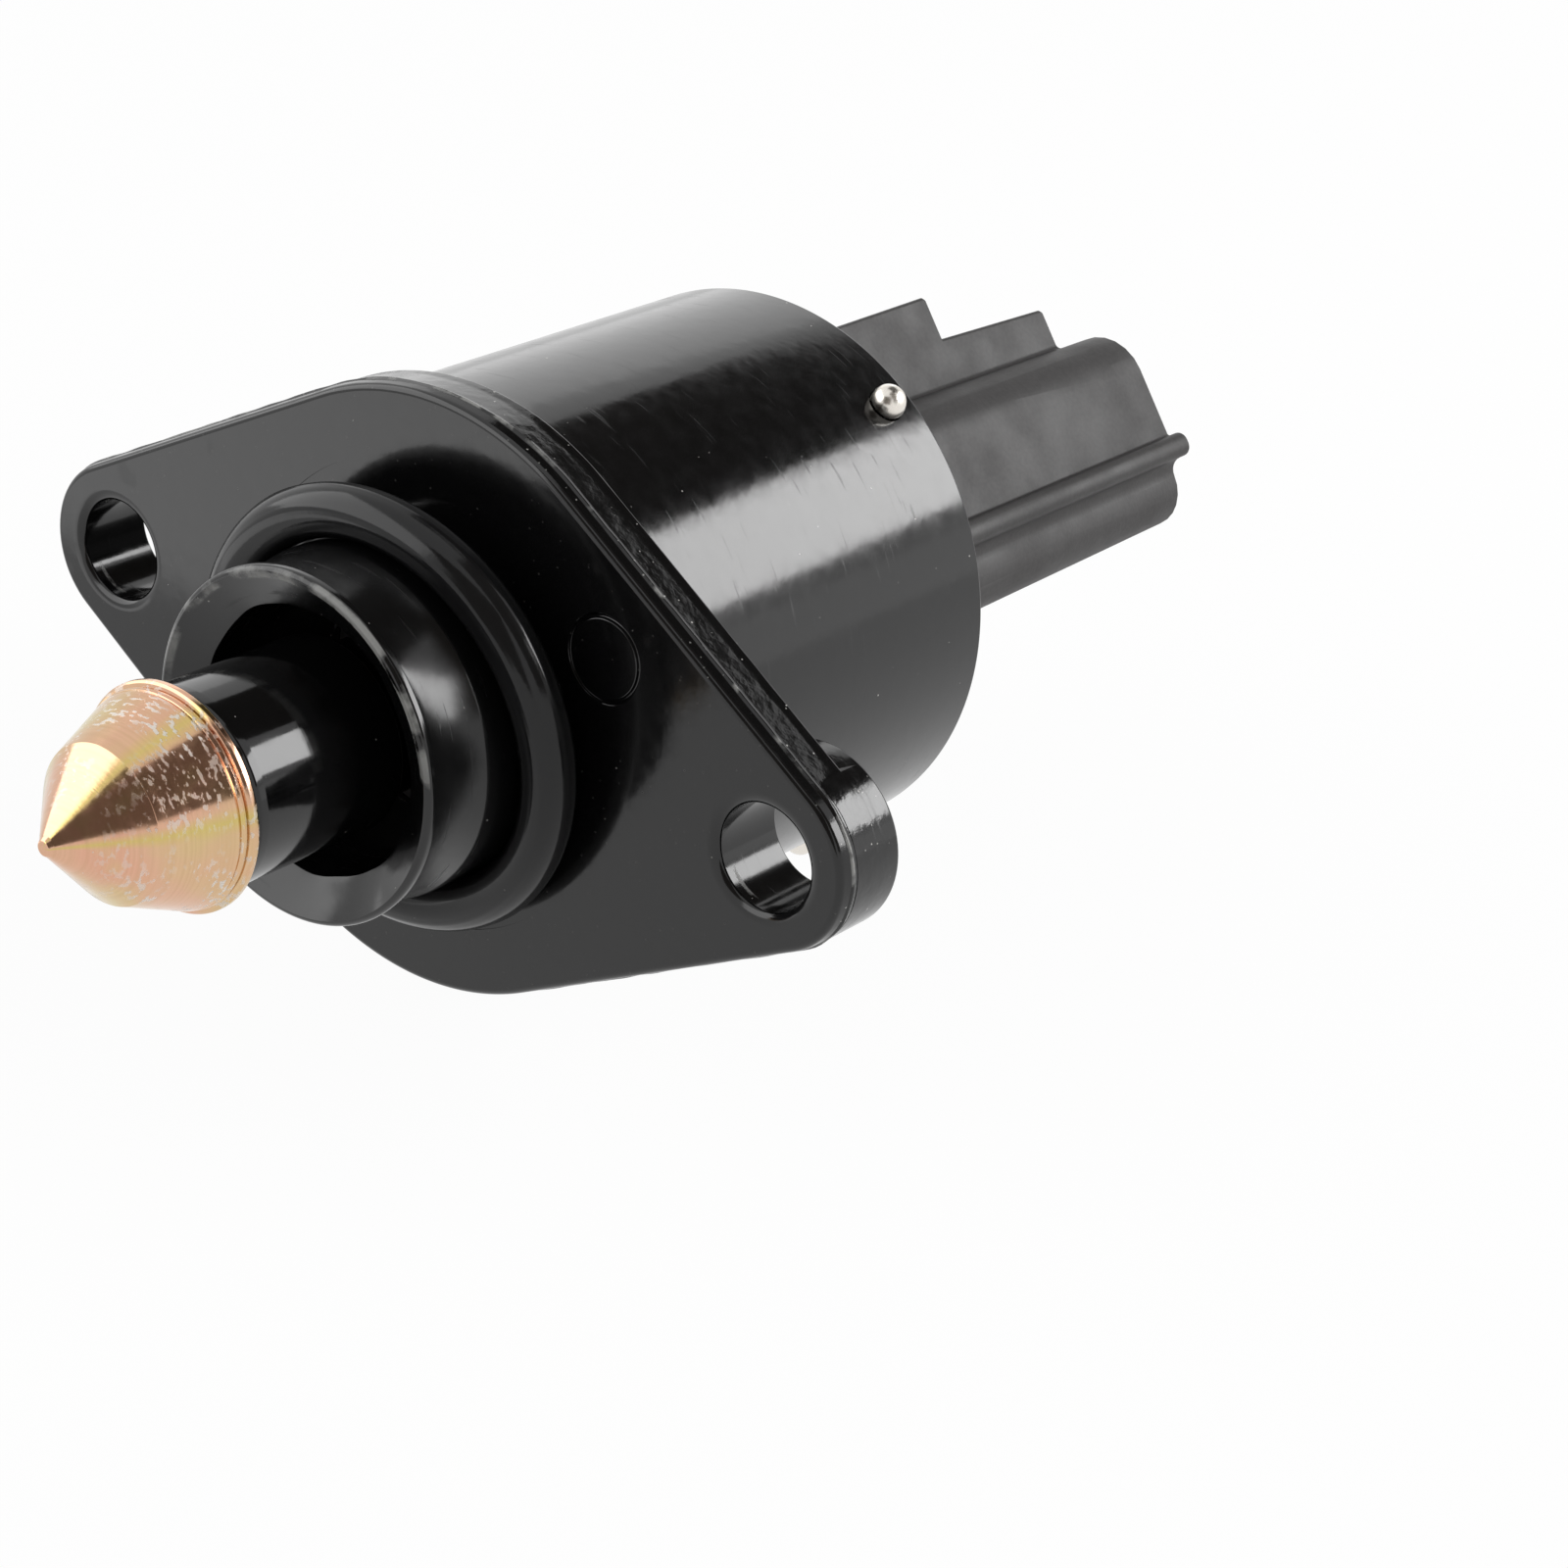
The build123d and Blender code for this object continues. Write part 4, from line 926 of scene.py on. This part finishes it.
# %% Magnet and windings
ferrite, tree, shader = finish("bonded ferrite", (0.06, 0.06, 0.065), 0.6)
bumped(tree, shader, grain(tree, 4000, 3), 0.008)
copper, tree, shader = finish("enamelled copper", (0.62, 0.25, 0.10), 0.3, 1.0)
turns = tree.nodes.new("ShaderNodeTexWave")
turns.bands_direction = "Y"
turns.inputs["Scale"].default_value = 1000
tree.links.new(coordinates(tree), turns.inputs["Vector"])
bumped(tree, shader, turns.outputs["Fac"], 0.1)
print("materials so far:", len(bpy.data.materials))

# %% [markdown]
# ## Put the finishes on
# The made pieces replace their CAD nodes and ride on the same bodies. The other CAD nodes keep
# their shape and get a finish in their own slot. The guide bush is dark, because nothing pale
# shows in the spigot's bore.

# %% Pieces and CAD nodes get their finishes
made = [(housing_look, "housing", "valve_body", paint, "black_paint"),
        (seal_look, "seal_ring", "valve_body", rubber, "black_rubber"),
        (connector_look, "connector_cap", "valve_body", plastic, "grey_black_plastic"),
        (pins_look, "retaining_pins", "valve_body", bright, "bright_steel"),
        (pintle_look, "pintle", "plunger", zinc, "yellow_zinc"),
        (stem_look, "stem", "plunger", gloss, "black_gloss_stem")]
for piece, node, body, material, slot in made:
    dress(piece, material)
    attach(piece, body)
    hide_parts(node)
kept = {"lead_screw": steel, "guide_bush": plastic, "rotor_hub": natural, "rotor_nut": brass,
        "rotor_magnet": ferrite, "bearing_inner_race": steel, "bearing_balls": bright, "bearing_cage": brass,
        "bearing_outer_race": steel, "bow_washer": steel, "pole_cup_front": pressed,
        "pole_plate_front": pressed, "pole_plate_rear": pressed, "pole_cup_rear": pressed,
        "bobbin_front": natural, "bobbin_rear": natural, "winding_front": copper, "winding_rear": copper,
        "cap_seal": rubber, "terminal_1": tin, "terminal_2": tin, "terminal_3": tin, "terminal_4": tin}
for name, material in kept.items():
    dress(nodes[name], material)
print("made", len(made), "kept", len(kept))

# %% [markdown]
# ## Camera
# The photograph's view was solved from the valve's own edges: the place, the direction and the
# slight roll of the camera, with a long lens.

# %% Camera
azimuth, elevation, camera_roll = (math.radians(a) for a in (35.46, 26.97, 6.99))
backwards = Vector((math.sin(azimuth) * math.cos(elevation), -math.cos(azimuth) * math.cos(elevation),
                    math.sin(elevation)))
level = Vector((math.cos(azimuth), math.sin(azimuth), 0))
right = level * math.cos(camera_roll) + backwards.cross(level) * math.sin(camera_roll)
up = backwards.cross(right)
stand = Vector((129.1096, -145.0057, 95.4909)) * MM
camera = bpy.data.objects.new("camera", bpy.data.cameras.new("camera"))
camera.matrix_world = Matrix.Translation(stand) @ Matrix((right, up, backwards)).transposed().to_4x4()
camera.data.lens = 87.376
camera.data.sensor_width = 36
camera.data.clip_start = 0.01
bpy.context.scene.collection.objects.link(camera)
bpy.context.scene.camera = camera
print("camera stands", round(stand.length / MM), "mm from the origin")

# %% [markdown]
# ## Light
# Gloss black shows almost nothing but its reflections, so the lamps are placed by what the paint
# should mirror. A direction is an azimuth, from straight behind the valve towards its right side,
# and a height in degrees. The key box behind on the right gives the bright stripe down the can,
# the neck and the stem, and a low, weak one under it the faint light below that stripe. A wide,
# weak box behind on the left gives the pale upper edge of the can, and one in front on the left the
# pale stripe on the pintle. A small box lies on the floor in front on the left and faces up: the
# upper left of the flange face mirrors that part of the floor, and is a little paler for it.

# %% Soft boxes
def towards(degrees, height, distance):
    a, h = math.radians(degrees), math.radians(height)
    return Vector((math.sin(a) * math.cos(h), math.cos(a) * math.cos(h), math.sin(h))) * distance


def soft_box(name, place, wide, high, radiance):
    lamp = bpy.data.lights.new(name, "AREA")
    lamp.shape = "RECTANGLE"
    lamp.size = wide
    lamp.size_y = high
    lamp.energy = radiance * math.pi * wide * high
    holder = bpy.data.objects.new(name, lamp)
    holder.location = place
    holder.rotation_euler = holder.location.to_track_quat("Z", "Y").to_euler()
    holder.visible_camera = False
    bpy.context.scene.collection.objects.link(holder)
    print(name, "gives", round(lamp.energy, 2), "W")
    return holder


soft_box("key", towards(45, 28, 0.5), 0.38, 0.195, 8.1)
bounce = soft_box("floor_bounce", (-0.063, -0.053, cad_low.z + 0.0004), 0.040, 0.054, 0.9)
bounce.rotation_euler = (math.pi, 0, 0)
soft_box("back_left", towards(-40, 13, 0.6), 0.37, 0.39, 0.52)
soft_box("back_right_low", towards(46, 2, 0.62), 0.34, 0.2, 0.3)
soft_box("front_left", towards(-128, 28, 0.5), 0.7, 0.4, 1.8)

# %% [markdown]
# ## Dark flags
# A photographer hangs black cloth where gloss should stay black. These panels do the same: above
# and behind for the dark band along the can, on the right and round the camera for the dark
# facets of the pintle. They are seen by reflections only, and throw no shadow. Each also glows
# faintly warm: a painted glow that stands in for the little light the cloth would throw back.

# %% Dark flags
cloth_black, cloth_painted_glow, flag_away, flag_thick = (0.002, 0.002, 0.002), (1.0, 0.9, 0.8, 1), 0.7, 2


def dark_flag(name, degrees, height, wide, high, glow):
    cloth, tree, shader = finish(name + "_cloth", cloth_black, 1.0)
    shader.inputs["Specular IOR Level"].default_value = 0.0
    # Painted glow: a faint warm emission that stands in for the light the cloth throws back.
    shader.inputs["Emission Color"].default_value = cloth_painted_glow
    shader.inputs["Emission Strength"].default_value = glow
    panel = slab(name, (-wide / 2, -high / 2, 0), (wide / 2, high / 2, flag_thick))
    middle = towards(degrees, height, flag_away)
    panel.data.transform(Matrix.Translation(middle) @ middle.to_track_quat("Z", "Y").to_matrix().to_4x4())
    panel.visible_camera = False
    panel.visible_diffuse = False
    panel.visible_shadow = False
    dress(panel, cloth)
    print(name, "hangs", round(flag_away / MM), "mm away")


dark_flag("flag_behind", 0, 57, 560, 510, 0.05)
dark_flag("flag_right", 88, 48, 420, 900, 0.14)
dark_flag("flag_camera", 155, 30, 660, 660, 0.15)

# %% [markdown]
# ## Floor and background
# The background is white only to camera, glossy and transmission rays, so that it puts no extra
# light on the object, and the floor keeps the object's shadow.

# %% Floor and world
def seen_directly(tree):
    path = tree.nodes.new("ShaderNodeLightPath")
    mirrored = sums(tree, "MAXIMUM", path.outputs["Is Camera Ray"], path.outputs["Is Glossy Ray"])
    return sums(tree, "MAXIMUM", mirrored, path.outputs["Is Transmission Ray"])


room_light, paper_white, floor_half, floor_gap = 0.35, 0.96, 1500, 0.02
world = bpy.data.worlds.new("white room")
world.use_nodes = True
bpy.context.scene.world = world
tree = world.node_tree
background = tree.nodes["Background"]
background.inputs["Color"].default_value = (1, 1, 1, 1)
tree.links.new(spread(tree, seen_directly(tree), 0, 1, room_light, 1.0), background.inputs["Strength"])

floor = slab("floor", (-floor_half, -floor_half, cad_low.z / MM - 3),
             (floor_half, floor_half, cad_low.z / MM - floor_gap))
floor_paper, tree, shader = finish("floor paper", (0.8, 0.8, 0.8), 0.9)
shader.inputs["Specular IOR Level"].default_value = 0.0
glow = tree.nodes.new("ShaderNodeEmission")
mix = tree.nodes.new("ShaderNodeMixShader")
tree.links.new(spread(tree, seen_directly(tree), 0, 1, 0.0, paper_white), mix.inputs["Fac"])
tree.links.new(shader.outputs[0], mix.inputs[1])
tree.links.new(glow.outputs[0], mix.inputs[2])
tree.links.new(mix.outputs[0], tree.nodes["Material Output"].inputs["Surface"])
dress(floor, floor_paper)
bpy.context.scene.view_settings.view_transform = "Standard"
print("floor at", round(cad_low.z / MM - floor_gap, 2), "mm")
